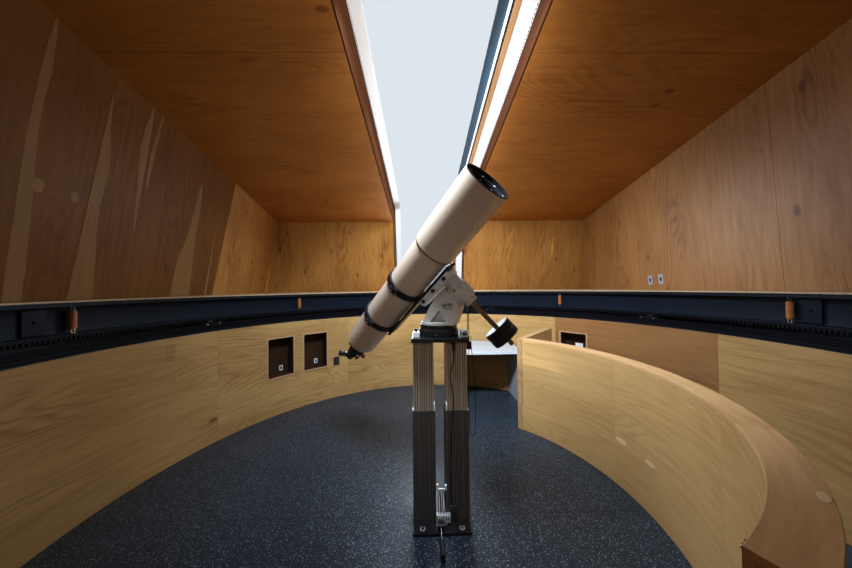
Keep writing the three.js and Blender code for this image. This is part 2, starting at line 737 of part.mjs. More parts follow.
function telescope() {
  const t = tubeMiddle;
  const outer = rodAlong(t, tubeDir, TUBE_BACK, SHIELD_START, TUBE_R, 40);
  const bore = rodAlong(t, tubeDir, TUBE_BACK + 10, SHIELD_START + 10, TUBE_R - TUBE_WALL, 40);
  piece('tube', without(outer, bore), cream);
  const shield = rodAlong(t, tubeDir, SHIELD_START + GAP, SHIELD_END, SHIELD_R, 40);
  const mouth = rodAlong(t, tubeDir, SHIELD_START + 12, SHIELD_END + 10, SHIELD_R - TUBE_WALL, 40);
  const back = rodAlong(t, tubeDir, SHIELD_START - 10, SHIELD_START + 20, TUBE_R - TUBE_WALL, 40);
  piece('dew_shield', without(shield, mouth, back), cream);
  const lensAt = SHIELD_END - LENS_IN;
  piece(
    'objective_lens',
    rodAlong(t, tubeDir, lensAt - LENS_THICK, lensAt, SHIELD_R - TUBE_WALL - GAP, 40),
    blackMetal,
  );
  const body = rodAlong(t, tubeDir, FOCUSER_BACK, TUBE_BACK - GAP, 60, 24);
  const collar = rodAlong(t, tubeDir, TUBE_BACK - 60, TUBE_BACK - GAP, 70, 24);
  const side = along(t, tubeDir, TUBE_BACK - 170);
  const knobs = rodAlong(side, decAxis, -78, 118, 24, 20);
  piece('focuser', joined(body, collar, knobs), blackMetal);
  const elbow = along(t, tubeDir, FOCUSER_BACK - GAP - 36);
  const stub = rodAlong(elbow, tubeDir, -36, 36, 34, 20);
  const eyepiece = rodAlong(elbow, eyeWay, -20, 118, 27, 20);
  piece('eyepiece', joined(stub, eyepiece), blackMetal);
}

groundSlab();
drumWalls();
entrance();
observingFloor();
stairGuard();
curbRail();
turretRing();
turretBase();
turretWalls();
slitUpstand();
shutterRails();
shutter();
pier();
pierLever();
desk();
mount();
polarHead();
tubeHolders();
telescope();

export default observatory;
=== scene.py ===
"""The looks of a small observatory: a round building, a square-cornered turret lined with fir plywood
that turns on a steel ring, a sliding shutter, and a refractor on a rising pier.

Metres. +Z is up, the origin is on the ground under the centre of the round wall, and +Y is the way
the slit faces.
"""

import math
import random

import bmesh
import bpy
from mathutils import Matrix, Vector


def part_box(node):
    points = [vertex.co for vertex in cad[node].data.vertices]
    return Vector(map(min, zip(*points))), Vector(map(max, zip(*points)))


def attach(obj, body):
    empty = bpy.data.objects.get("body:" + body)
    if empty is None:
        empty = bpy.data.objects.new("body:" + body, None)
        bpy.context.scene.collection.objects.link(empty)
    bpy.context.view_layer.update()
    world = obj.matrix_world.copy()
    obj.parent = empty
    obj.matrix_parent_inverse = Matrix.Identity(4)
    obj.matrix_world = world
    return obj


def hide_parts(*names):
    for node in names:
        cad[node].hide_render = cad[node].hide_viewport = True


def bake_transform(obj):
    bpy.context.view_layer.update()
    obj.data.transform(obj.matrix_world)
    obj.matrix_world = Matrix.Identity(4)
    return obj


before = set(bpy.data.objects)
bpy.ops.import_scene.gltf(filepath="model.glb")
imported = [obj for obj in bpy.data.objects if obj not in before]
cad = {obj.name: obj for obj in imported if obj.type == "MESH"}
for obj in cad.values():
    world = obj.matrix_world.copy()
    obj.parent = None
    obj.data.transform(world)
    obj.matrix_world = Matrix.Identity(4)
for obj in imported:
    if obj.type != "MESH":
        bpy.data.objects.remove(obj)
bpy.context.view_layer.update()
scene = bpy.context.scene
collection = scene.collection
UP, ACROSS, ALONG = Vector((0, 0, 1)), Vector((1, 0, 0)), Vector((0, 1, 0))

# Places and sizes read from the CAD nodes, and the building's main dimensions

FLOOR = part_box("observing_floor_left")[1].z
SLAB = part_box("ground_slab")[1].z
WALL_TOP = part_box("drum_wall_1")[1].z
RING_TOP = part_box("turret_ring_left")[1].z
RACK_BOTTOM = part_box("turret_ring_left")[0].z
DECK_LOW, DECK_TOP = (corner.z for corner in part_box("turret_base_left"))
ROOM_R = 2.400
WALL_R = 2.600
LINING = 0.006
SHEET_JOINT, SHEET_WIDE = 0.58, 1.22

# The turret's inner faces lean: each one's distance is given at this height
FIT = FLOOR + 1.447


def face_plane(normal, at, lean=0.0):
    """An inner face of the turret as a unit normal, pointing out of the room, and its distance."""
    direction = Vector(normal)
    return direction.normalized(), (at + lean * FIT) / direction.length


FACES = {
    "left": face_plane((-1, -0.0965, 0.1592), 2.563, 0.1592),
    "right": face_plane((1, -0.064, 0.0665), 2.693, 0.0665),
    "far": face_plane((0, 1, 0.2475), 3.216, 0.2475),
    "near": face_plane((0, -1, 0.2), 2.780, 0.2),
    "roof": face_plane((0, 0.1453, 1), FLOOR + 3.134),
}
SLIT_LEFT, SLIT_RIGHT, SLIT_BACK = -0.613, 0.663, -1.150
SILL = DECK_TOP + 0.0903

# The camera, from the fit to the photograph

CAMERA_AT = Vector((-0.1099, -1.8559, FLOOR + 1.537))
CAMERA_YAW, CAMERA_PITCH, CAMERA_ROLL = 0.0144, 0.0126, 0.0119
FOCAL_PIXELS, PICTURE_WIDE, SENSOR = 268.131, 852, 36.0


def make_camera():
    data = bpy.data.cameras.new("photograph")
    data.sensor_width = SENSOR
    data.lens = FOCAL_PIXELS / PICTURE_WIDE * SENSOR
    data.clip_start, data.clip_end = 0.05, 200
    forward = Vector((math.sin(CAMERA_YAW), math.cos(CAMERA_YAW), math.tan(CAMERA_PITCH))).normalized()
    level = forward.cross(UP).normalized()
    upright = level.cross(forward)
    up = upright * math.cos(CAMERA_ROLL) + level * math.sin(CAMERA_ROLL)
    side = forward.cross(up)
    camera = bpy.data.objects.new("photograph", data)
    turn = Matrix((side, up, -forward)).transposed().to_4x4()
    camera.matrix_world = Matrix.Translation(CAMERA_AT) @ turn
    collection.objects.link(camera)
    scene.camera = camera


# Shader helpers


def feed(tree, socket, value):
    if isinstance(value, bpy.types.NodeSocket):
        tree.links.new(value, socket)
    else:
        socket.default_value = value


def give(tree, node, **inputs):
    """Feeds a node. Inputs go by their socket's name, with _ for a space, and are values or sockets."""
    for key, value in inputs.items():
        feed(tree, node.inputs[key.replace("_", " ")], value)


def put(tree, kind, settings=None, **inputs):
    """Adds a node and feeds it."""
    made = tree.nodes.new(kind)
    for key, value in (settings or {}).items():
        setattr(made, key, value)
    give(tree, made, **inputs)
    return made


def sums(tree, operation, a, b=0.0, c=0.0):
    made = tree.nodes.new("ShaderNodeMath")
    made.operation = operation
    for socket, value in zip(made.inputs, (a, b, c)):
        feed(tree, socket, value)
    return made.outputs[0]


def tint(color):
    return (*color, 1.0) if len(color) == 3 else color


def mixed(tree, factor, a, b, way="MIX"):
    made = tree.nodes.new("ShaderNodeMix")
    made.data_type = "RGBA"
    made.blend_type = way
    for index, value in ((0, factor), (6, a), (7, b)):
        feed(tree, made.inputs[index], tint(value) if isinstance(value, tuple) else value)
    return made.outputs[2]


def spread(tree, value, low, high, to_low=0.0, to_high=1.0):
    """Maps low..high to to_low..to_high, clamped, with soft ends."""
    made = put(tree, "ShaderNodeMapRange", {"interpolation_type": "SMOOTHSTEP"}, Value=value)
    give(tree, made, From_Min=low, From_Max=high, To_Min=to_low, To_Max=to_high)
    return made.outputs[0]


def scaled(tree, vector, scale, shift=(0, 0, 0)):
    return put(tree, "ShaderNodeMapping", Vector=vector, Scale=scale, Location=shift).outputs[0]


def noise(tree, vector, scale, detail=2.0, rough=0.5, twist=0.0):
    made = put(tree, "ShaderNodeTexNoise", Vector=vector, Scale=scale, Detail=detail)
    give(tree, made, Roughness=rough, Distortion=twist)
    return made.outputs["Fac"]


def new_group(name, inputs, outputs):
    """A shader node group. Inputs are (name, kind, value) and outputs are (name, kind)."""
    tree = bpy.data.node_groups.new(name, "ShaderNodeTree")
    for label, kind, value in inputs:
        socket = tree.interface.new_socket(label, in_out="INPUT", socket_type=f"NodeSocket{kind}")
        if value is not None:
            socket.default_value = value
    for label, kind in outputs:
        tree.interface.new_socket(label, in_out="OUTPUT", socket_type=f"NodeSocket{kind}")
    start = tree.nodes.new("NodeGroupInput").outputs
    end = tree.nodes.new("NodeGroupOutput").inputs
    return tree, start, end


def fir_group():
    """Rotary-cut fir veneer: x runs along the grain and y across it, in metres."""
    tree, given, out = new_group(
        "Fir veneer",
        [
            ("Place", "Vector", None),
            ("Pale", "Color", (0.6, 0.4, 0.2, 1)),
            ("Dark", "Color", (0.3, 0.15, 0.05, 1)),
            ("Figure", "Float", 0.5),
            ("Sapwood", "Float", 0.0),
            ("Knots", "Float", 0.3),
        ],
        [("Color", "Color"), ("Height", "Float"), ("Roughness", "Float")],
    )
    place = given["Place"]
    field = noise(tree, scaled(tree, place, (0.45, 2.4, 1)), 1.0, 2.5, 0.45, 0.4)
    across = put(tree, "ShaderNodeSeparateXYZ", Vector=place).outputs[1]
    lean = sums(tree, "MULTIPLY", across, 22.0)
    phase = sums(tree, "MULTIPLY_ADD", field, 150.0, lean)
    wave = sums(tree, "MULTIPLY_ADD", sums(tree, "SINE", phase), 0.5, 0.5)
    rings = sums(tree, "POWER", wave, 1.8)
    wander = spread(tree, noise(tree, scaled(tree, place, (0.9, 2.6, 1)), 1.0, 1.0), 0.40, 0.68)
    rings = sums(tree, "MULTIPLY", rings, sums(tree, "MULTIPLY_ADD", wander, 0.85, 0.15))
    fibre = noise(tree, scaled(tree, place, (14.0, 380.0, 1)), 1.0, 3.0, 0.6)
    streak = noise(tree, scaled(tree, place, (2.2, 34.0, 1)), 1.0, 4.0, 0.6, 0.2)
    dashes = noise(tree, scaled(tree, place, (16.0, 130.0, 1)), 1.0, 2.0, 0.5)
    cloud = noise(tree, scaled(tree, place, (0.8, 2.0, 1)), 1.0, 3.0, 0.55, 0.3)
    depth = sums(tree, "MULTIPLY", rings, given["Figure"])
    depth = sums(tree, "MULTIPLY_ADD", spread(tree, fibre, 0.3, 0.8), 0.14, depth)
    depth = sums(tree, "MULTIPLY_ADD", spread(tree, dashes, 0.55, 0.72), 0.16, depth)
    depth = sums(tree, "MULTIPLY_ADD", spread(tree, streak, 0.32, 0.70), 0.30, depth)
    depth = sums(tree, "MULTIPLY_ADD", spread(tree, cloud, 0.32, 0.68), 0.34, depth)
    color = mixed(tree, depth, given["Pale"], given["Dark"])
    # Sapwood runs along the sheet in pale tongues with a crisp edge
    tongue = noise(tree, scaled(tree, place, (0.42, 3.6, 1), (3.7, 1.9, 0)), 1.0, 2.0, 0.35)
    edge = sums(tree, "SUBTRACT", 0.86, sums(tree, "MULTIPLY", given["Sapwood"], 0.33))
    pale = spread(tree, tongue, edge, sums(tree, "ADD", edge, 0.012))
    lighter = mixed(tree, 1.0, color, (1.9, 1.85, 1.5), "MULTIPLY")
    color = mixed(tree, sums(tree, "MULTIPLY", pale, 0.62), color, lighter)
    cells = put(tree, "ShaderNodeTexVoronoi", {"voronoi_dimensions": "2D"}, Scale=1.0, Randomness=1.0)
    feed(tree, cells.inputs["Vector"], scaled(tree, place, (1.3, 2.9, 1)))
    chosen = put(tree, "ShaderNodeSeparateColor", Color=cells.outputs["Color"]).outputs[0]
    rare = sums(tree, "LESS_THAN", chosen, given["Knots"])
    near = spread(tree, cells.outputs["Distance"], 0.075, 0.035)
    knot = sums(tree, "MULTIPLY", near, rare)
    color = mixed(tree, sums(tree, "MULTIPLY", knot, 0.7), color, (0.10, 0.04, 0.015))
    tree.links.new(color, out["Color"])
    lift = sums(tree, "MULTIPLY_ADD", fibre, 0.6, sums(tree, "MULTIPLY", rings, 0.4))
    tree.links.new(lift, out["Height"])
    tree.links.new(spread(tree, streak, 0.2, 0.9, 0.42, 0.60), out["Roughness"])
    return tree


def wear_group():
    """A mask that is 1 along rubbed edges, and a mask of dust and dull patches."""
    tree, given, out = new_group(
        "Edge wear",
        [("Place", "Vector", None), ("Reach", "Float", 0.004), ("Grit", "Float", 60.0)],
        [("Edge", "Float"), ("Patches", "Float")],
    )
    soft = put(tree, "ShaderNodeBevel", {"samples": 4}, Radius=given["Reach"]).outputs[0]
    true = put(tree, "ShaderNodeNewGeometry").outputs["Normal"]
    agree = put(tree, "ShaderNodeVectorMath", {"operation": "DOT_PRODUCT"})
    tree.links.new(soft, agree.inputs[0])
    tree.links.new(true, agree.inputs[1])
    broken = noise(tree, given["Place"], given["Grit"], 3.0)
    bent = spread(tree, agree.outputs["Value"], 0.985, 0.90)
    ragged = spread(tree, broken, 0.42, 0.62)
    tree.links.new(sums(tree, "MULTIPLY", bent, ragged), out["Edge"])
    large = noise(tree, given["Place"], 3.0, 4.0, 0.6)
    tree.links.new(spread(tree, large, 0.35, 0.7), out["Patches"])
    return tree


def grain_group():
    """Fine grain for paint, castings and anodised metal: height and a small shift of tone."""
    tree, given, out = new_group(
        "Fine grain",
        [
            ("Place", "Vector", None),
            ("Scale", "Float", 400.0),
            ("Tone", "Color", (1, 1, 1, 1)),
            ("Depth", "Float", 0.1),
        ],
        [("Color", "Color"), ("Height", "Float"), ("Roughness", "Float")],
    )
    fine = noise(tree, given["Place"], given["Scale"], 3.0)
    broad = noise(tree, given["Place"], 2.3, 3.0, 0.55)
    both = sums(tree, "MULTIPLY_ADD", fine, 0.5, sums(tree, "MULTIPLY", broad, 0.5))
    shade = sums(tree, "MULTIPLY_ADD", sums(tree, "SUBTRACT", both, 0.5), given["Depth"], 1.0)
    grey = put(tree, "ShaderNodeCombineColor", Red=shade, Green=shade, Blue=shade).outputs[0]
    tree.links.new(mixed(tree, 1.0, given["Tone"], grey, "MULTIPLY"), out["Color"])
    tree.links.new(fine, out["Height"])
    tree.links.new(spread(tree, broad, 0.3, 0.7, 0.9, 1.15), out["Roughness"])
    return tree


FIR, WEAR, GRAIN = fir_group(), wear_group(), grain_group()


def use(tree, group, **inputs):
    made = tree.nodes.new("ShaderNodeGroup")
    made.node_tree = group
    for key, value in inputs.items():
        feed(tree, made.inputs[key], tint(value) if isinstance(value, tuple) else value)
    return made.outputs


def new_material(name):
    material = bpy.data.materials.new(name)
    material.use_nodes = True
    tree = material.node_tree
    shader = tree.nodes["Principled BSDF"]
    return material, tree, shader


def place_of(tree, kind="Object"):
    return put(tree, "ShaderNodeTexCoord").outputs[kind]


def bump(tree, shader, height, strength, distance):
    made = put(tree, "ShaderNodeBump", Height=height, Strength=strength, Distance=distance)
    give(tree, shader, Normal=made.outputs[0])


def fir(name, pale, dark, figure=0.5, sapwood=0.0, knots=0.25, turn=None, coat=0.1, shine=0.3):
    """Oiled fir plywood. The grain follows the mesh's own grain map, or a turned object space."""
    material, tree, shader = new_material(name)
    place = place_of(tree, "UV")
    if turn is not None:
        place = put(tree, "ShaderNodeMapping", Vector=place_of(tree), Rotation=turn).outputs[0]
    look = {"Pale": pale, "Dark": dark, "Figure": figure, "Sapwood": sapwood, "Knots": knots}
    veneer = use(tree, FIR, Place=place, **look)
    give(tree, shader, Base_Color=veneer["Color"], Roughness=veneer["Roughness"])
    give(tree, shader, Specular_IOR_Level=shine, Coat_Weight=coat, Coat_Roughness=0.35)
    bump(tree, shader, veneer["Height"], 0.25, 0.0006)
    return material


def paint(
    name,
    color,
    roughness=0.4,
    metallic=0.0,
    depth=0.12,
    scale=300.0,
    edge=None,
    reach=0.003,
    coat=0.0,
    dust=None,
    shine=0.5,
):
    """Painted, moulded or anodised finish with fine grain, rubbed edges and dull patches."""
    material, tree, shader = new_material(name)
    place = place_of(tree)
    grain = use(tree, GRAIN, Place=place, Scale=scale, Tone=color, Depth=depth)
    result = grain["Color"]
    rough = sums(tree, "MULTIPLY", grain["Roughness"], roughness)
    if edge or dust:
        wear = use(tree, WEAR, Place=place, Reach=reach, Grit=70.0)
    if edge:
        result = mixed(tree, wear["Edge"], result, edge)
    if dust:
        result = mixed(tree, sums(tree, "MULTIPLY", wear["Patches"], 0.22), result, dust)
        rough = sums(tree, "MULTIPLY_ADD", wear["Patches"], 0.12, rough)
    give(tree, shader, Base_Color=result, Roughness=rough, Metallic=metallic)
    give(tree, shader, Specular_IOR_Level=shine, Coat_Weight=coat, Coat_Roughness=0.12)
    bump(tree, shader, grain["Height"], 0.12, 0.0004)
    return material


def speckled_rubber():
    """Rubber flooring with pale crumbs, laid in sheets."""
    material, tree, shader = new_material("speckled_rubber")
    place = place_of(tree)
    cells = put(tree, "ShaderNodeTexVoronoi", Vector=place, Scale=185.0, Randomness=1.0)
    parts = put(tree, "ShaderNodeSeparateColor", Color=cells.outputs["Color"]).outputs
    chosen = sums(tree, "LESS_THAN", parts[0], 0.24)
    crumb = sums(tree, "MULTIPLY", spread(tree, cells.outputs["Distance"], 0.42, 0.28), chosen)
    crumb = sums(tree, "MULTIPLY", crumb, sums(tree, "MULTIPLY_ADD", parts[1], 0.7, 0.3))
    ground = mixed(tree, noise(tree, place, 420.0, 3.0), (0.006, 0.009, 0.014), (0.019, 0.026, 0.036))
    color = mixed(tree, crumb, ground, (0.44, 0.54, 0.66))
    across = put(tree, "ShaderNodeSeparateXYZ", Vector=place).outputs[1]
    sheet = sums(tree, "DIVIDE", sums(tree, "SUBTRACT", across, SHEET_JOINT), SHEET_WIDE)
    sheet = sums(tree, "FRACT", sheet)
    seam = sums(tree, "LESS_THAN", sums(tree, "ABSOLUTE", sums(tree, "SUBTRACT", sheet, 0.5)), 0.0016)
    color = mixed(tree, seam, color, (0.002, 0.002, 0.003))
    scuffs = spread(tree, noise(tree, place, 1.6, 5.0, 0.6), 0.3, 0.75, 0.30, 0.50)
    give(tree, shader, Base_Color=color, Roughness=scuffs, Specular_IOR_Level=0.25)
    grit = sums(tree, "SUBTRACT", noise(tree, place, 260.0, 2.0), sums(tree, "MULTIPLY", seam, 2.0))
    bump(tree, shader, grit, 0.25, 0.0008)
    return material


def metal(name, color, roughness):
    """Bare metal, a little uneven in tone and shine."""
    material, tree, shader = new_material(name)
    fine = noise(tree, place_of(tree), 120.0, 3.0, 0.6)
    tone = mixed(tree, spread(tree, fine, 0.3, 0.7), color, tuple(0.82 * c for c in color))
    rough = spread(tree, fine, 0.2, 0.8, roughness * 0.7, roughness * 1.3)
    give(tree, shader, Base_Color=tone, Roughness=rough, Metallic=1.0)
    return material


def concrete_finish():
    """Cast concrete with cloudy patches and small pores."""
    material, tree, shader = new_material("cast_concrete")
    place = place_of(tree)
    broad = noise(tree, place, 1.7, 6.0, 0.6)
    fine = noise(tree, place, 60.0, 4.0, 0.6)
    pores = put(tree, "ShaderNodeTexVoronoi", Vector=place, Scale=45.0).outputs["Distance"]
    hole = spread(tree, pores, 0.10, 0.05)
    color = mixed(tree, spread(tree, broad, 0.3, 0.7), (0.44, 0.43, 0.41), (0.58, 0.57, 0.54))
    color = mixed(tree, spread(tree, fine, 0.4, 0.8, 0.0, 0.3), color, (0.30, 0.29, 0.28))
    give(tree, shader, Base_Color=mixed(tree, hole, color, (0.2, 0.2, 0.19)), Roughness=0.85)
    bump(tree, shader, sums(tree, "SUBTRACT", fine, hole), 0.4, 0.002)
    return material


def glass_finish(name, color):
    """Clear coated glass with a faint smear."""
    material, tree, shader = new_material(name)
    smear = noise(tree, place_of(tree), 18.0, 3.0)
    give(tree, shader, Base_Color=tint(color), Roughness=spread(tree, smear, 0.3, 0.8, 0.01, 0.05))
    give(tree, shader, Transmission_Weight=1.0, IOR=1.5)
    return material


# Finishes

# The left wall's plywood is painted much darker than the other walls', as painted shade.
TURRET_PLY = {
    "left": fir(
        "fir_left_wall_painted_shade", (0.195, 0.082, 0.020), (0.105, 0.039, 0.009), 0.30, 0.0, 0.10, coat=0.0, shine=0.06
    ),
    "right": fir("fir_right_wall", (0.420, 0.195, 0.059), (0.200, 0.080, 0.020), 0.42, 0.20, 0.20, coat=0.2),
    "far": fir("fir_far_wall", (0.500, 0.235, 0.060), (0.210, 0.075, 0.014), 0.40, 0.45, 0.75, shine=0.2),
    "near": fir("fir_near_wall", (0.340, 0.165, 0.060), (0.120, 0.048, 0.014), 0.25, 0.30, 0.30),
}
CEILING_PLY = fir(
    "fir_ceiling", (0.440, 0.170, 0.036), (0.235, 0.078, 0.014), 0.30, 0.12, 0.12, coat=0.0, shine=0.12
)
# The slit's plywood cheeks and ends are painted near black, as painted shade inside the slit.
SHADED_CHEEK_PLY = fir(
    "fir_slit_cheeks_painted_shade", (0.070, 0.026, 0.012), (0.040, 0.014, 0.006), 0.3, 0.0, 0.0, coat=0.0, shine=0.0
)
SAPWOOD = fir(
    "pale_sapwood", (0.275, 0.150, 0.054), (0.200, 0.100, 0.033), 0.12, 0.0, 0.0, coat=0.0, shine=0.06
)
DRUM_PLY = fir("fir_round_wall", (0.500, 0.310, 0.120), (0.270, 0.140, 0.045), 0.42, 0.12, 0.12, shine=0.15)
DARK_DRUM_PLY = fir(
    "fir_round_wall_dark", (0.330, 0.160, 0.060), (0.170, 0.070, 0.023), 0.40, 0.0, 0.10, shine=0.2
)
NICHE_EDGE = fir("niche_edges", (0.50, 0.29, 0.17), (0.36, 0.19, 0.10), 0.2, 0.0, 0.0)
# The niches' plywood insides are painted dark, as painted shade in the recesses.
NICHE_SHADE_PLY = fir("niche_inside_painted_shade", (0.045, 0.022, 0.011), (0.018, 0.009, 0.005), 0.3, 0.0, 0.0, shine=0.1)
GUARD_PLY = fir("guard_skin", (0.620, 0.385, 0.157), (0.425, 0.236, 0.083), 0.36, 0.12, 0.05, shine=0.2)
PATCH_PLY = fir("guard_patch", (0.80, 0.60, 0.34), (0.62, 0.42, 0.20), 0.2, 0.0, 0.0)
CAP_PLY = fir("guard_top", (0.760, 0.460, 0.215), (0.450, 0.230, 0.090), 0.40, 0.3, 0.1)
GUARD_PLY_SOLID = fir(
    "guard_return", (0.560, 0.360, 0.180), (0.330, 0.170, 0.070), 0.45, 0.3, 0.1, turn=(0, 0, 0)
)
PLY_EDGE = fir("plywood_edge", (0.55, 0.38, 0.21), (0.30, 0.17, 0.08), 0.3, 0.0, 0.0)
STRIP_WOOD = fir("strip_wood", (0.40, 0.22, 0.10), (0.22, 0.11, 0.045), 0.3, 0.0, 0.0)
GRIP_WOOD = fir("grip_wood", (0.42, 0.15, 0.045), (0.20, 0.060, 0.016), 0.3, 0.0, 0.0, coat=0.5)
DECK_PLY = fir("deck_plywood", (0.560, 0.400, 0.230), (0.330, 0.200, 0.100), 0.4, 0.2, 0.1, turn=(0, 0, 0))

CLADDING = paint("blue_grey_cladding", (0.150, 0.190, 0.230), 0.42, 0.6, 0.12, 40.0, dust=(0.30, 0.32, 0.33))
CLAD_TRIM = paint("cladding_trim", (0.085, 0.105, 0.125), 0.40, 0.6, 0.1, 60.0)
DOOR_PAINT = paint("door_paint", (0.045, 0.062, 0.080), 0.38, 0.0, 0.1, 240.0, edge=(0.22, 0.23, 0.24))
# The shutter's metal face is painted much darker than the cladding, as painted shade.
SHADED_FASCIA_METAL = paint("shutter_face_metal_painted_shade", (0.034, 0.064, 0.094), 0.5, 0.0, 0.1, 80.0, shine=0.2)
RING_PAINT = paint(
    "ring_paint", (0.0065, 0.0095, 0.016), 0.50, 0.0, 0.25, 220.0, edge=(0.04, 0.05, 0.06), shine=0.10
)
CURB_STEEL = paint("curb_steel", (0.005, 0.006, 0.009), 0.5, 0.0, 0.2, 260.0, shine=0.10)
BLACK_PAINT = paint(
    "black_satin_paint", (0.012, 0.012, 0.014), 0.33, 0.0, 0.2, 420.0, edge=(0.09, 0.09, 0.09), reach=0.0015
)
BLACK_PLASTIC = paint("black_plastic", (0.014, 0.014, 0.016), 0.42, 0.0, 0.15, 900.0)
DARK_PLASTIC = paint("dark_grey_plastic", (0.035, 0.035, 0.038), 0.5, 0.0, 0.15, 900.0)
DARK_KNOB = paint("dark_red_knob", (0.085, 0.016, 0.014), 0.38, 0.3, 0.15, 500.0)
SHADOW_BLACK = paint("shadow_black", (0.006, 0.006, 0.007), 0.7, 0.0, 0.1, 300.0)
SHADOW_BROWN = paint("shadow_brown", (0.070, 0.038, 0.020), 0.8, 0.0, 0.1, 300.0)
BAFFLE_BLACK = paint("flat_black", (0.008, 0.008, 0.008), 0.9, 0.0, 0.1, 500.0)
WHITE_PAINT = paint("white_paint", (0.78, 0.80, 0.82), 0.38, 0.0, 0.05, 300.0)
WHITE_PLASTIC = paint("white_plastic", (0.80, 0.80, 0.78), 0.35, 0.0, 0.04, 700.0)
PALE_PLASTIC = paint("pale_plastic", (0.62, 0.66, 0.70), 0.4, 0.0, 0.04, 700.0)
COLUMN_METAL = paint("bronze_anodised", (0.560, 0.468, 0.378), 0.42, 0.45, 0.10, 500.0)
LOWER_COLUMN_METAL = paint("dark_bronze_anodised", (0.130, 0.118, 0.110), 0.42, 0.45, 0.10, 500.0)
# The columns' grooves are painted dark, as painted shade in them.
PAINTED_SHADE_GROOVES = paint("bronze_groove", (0.060, 0.048, 0.038), 0.6, 0.3, 0.10, 500.0)
PAINTED_SHADE_LOWER_GROOVES = paint("dark_bronze_groove", (0.058, 0.052, 0.048), 0.6, 0.3, 0.10, 500.0)
CAST_PAINT = paint("pale_grey_casting", (0.600, 0.580, 0.550), 0.42, 0.15, 0.10, 500.0)
CREAM_ENAMEL = paint("cream_enamel", (0.740, 0.575, 0.445), 0.30, 0.0, 0.04, 160.0, coat=0.35)
BRIGHT_STEEL = metal("bright_steel", (0.62, 0.63, 0.65), 0.24)
CHROME = metal("chrome", (0.80, 0.81, 0.83), 0.10)
LENS_RIM = paint("black_lens_cell", (0.010, 0.010, 0.012), 0.3, 0.0, 0.1, 300.0)
LENS_GLASS = glass_finish("coated_glass", (0.030, 0.022, 0.030))
PLATE_STEEL = paint("satin_steel_plate", (0.40, 0.41, 0.42), 0.4, 0.3, 0.1, 300.0)
DESK_WHITE = paint("worktop_laminate", (0.42, 0.43, 0.44), 0.45, 0.0, 0.05, 300.0)
FLOOR_RUBBER = speckled_rubber()
CONCRETE = concrete_finish()
RED_CORD = paint("dark_red_cord", (0.090, 0.010, 0.010), 0.5, 0.0, 0.1, 900.0)
RUBBER_CORD = paint("black_cord", (0.010, 0.010, 0.011), 0.5, 0.0, 0.1, 900.0)

# Mesh helpers

GRAIN_MAP = "grain"
ON_AXIS = 1e-7
PANEL_STEP = 1.5
BOARD_GAP, BOARD_LIFT = 0.0016, 0.0002
SEAM_WIDE = 0.008
seeded = random.Random(7)


def keep(name, bm, finishes, body, smooth=30.0, bevel=0.0, solid=None):
    """Turns a bmesh into a piece. It rides on a body where one is given; a piece that crosses a joint is
    given none.

    Faces keep their index into the finishes. solid is a slot of the record, which is not used, and the
    CAD nodes that the piece stands for, which it hides.
    """
    bmesh.ops.recalc_face_normals(bm, faces=bm.faces[:])
    mesh = bpy.data.meshes.new(name)
    bm.to_mesh(mesh)
    bm.free()
    for finish in finishes if isinstance(finishes, tuple) else (finishes,):
        mesh.materials.append(finish)
    piece = bpy.data.objects.new(name, mesh)
    collection.objects.link(piece)
    if smooth:
        mesh.shade_smooth()
        mesh.set_sharp_from_angle(angle=math.radians(smooth))
    if bevel:
        rounding = piece.modifiers.new("rounding", "BEVEL")
        rounding.width = bevel
        rounding.segments = 2
        rounding.limit_method = "ANGLE"
    if body:
        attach(piece, body)
    if solid:
        slot, *nodes = solid
        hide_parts(*nodes)
    return piece


def new_mesh():
    bm = bmesh.new()
    bm.loops.layers.uv.new(GRAIN_MAP)
    return bm


def random_shift():
    return Vector((seeded.uniform(0, 40), seeded.uniform(0, 40)))


def grain_map(bm, faces, along, across, shift=None):
    """Lays the grain map flat on faces: along is the way of the grain."""
    uv = bm.loops.layers.uv[GRAIN_MAP]
    shift = random_shift() if shift is None else shift
    for face in faces:
        for loop in face.loops:
            flat = Vector((loop.vert.co.dot(along), loop.vert.co.dot(across)))
            loop[uv].uv = flat + shift


def prism(bm, outline, depth, index=0):
    """A solid from a flat outline pushed by a vector."""
    low = [bm.verts.new(p) for p in outline]
    high = [bm.verts.new(Vector(p) + Vector(depth)) for p in outline]
    faces = [bm.faces.new(low), bm.faces.new(list(reversed(high)))]
    for i, here in enumerate(low):
        j = (i + 1) % len(low)
        faces.append(bm.faces.new((here, high[i], high[j], low[j])))
    for face in faces:
        face.material_index = index
    return faces


def brick(bm, low, high, place=None, index=0):
    """A box between two corners, in its own placed frame."""
    place = place or Matrix()
    x0, y0, z0 = low
    x1, y1, z1 = high
    outline = [place @ Vector(p) for p in ((x0, y0, z0), (x1, y0, z0), (x1, y1, z0), (x0, y1, z0))]
    return prism(bm, outline, place.to_3x3() @ Vector((0, 0, z1 - z0)), index)


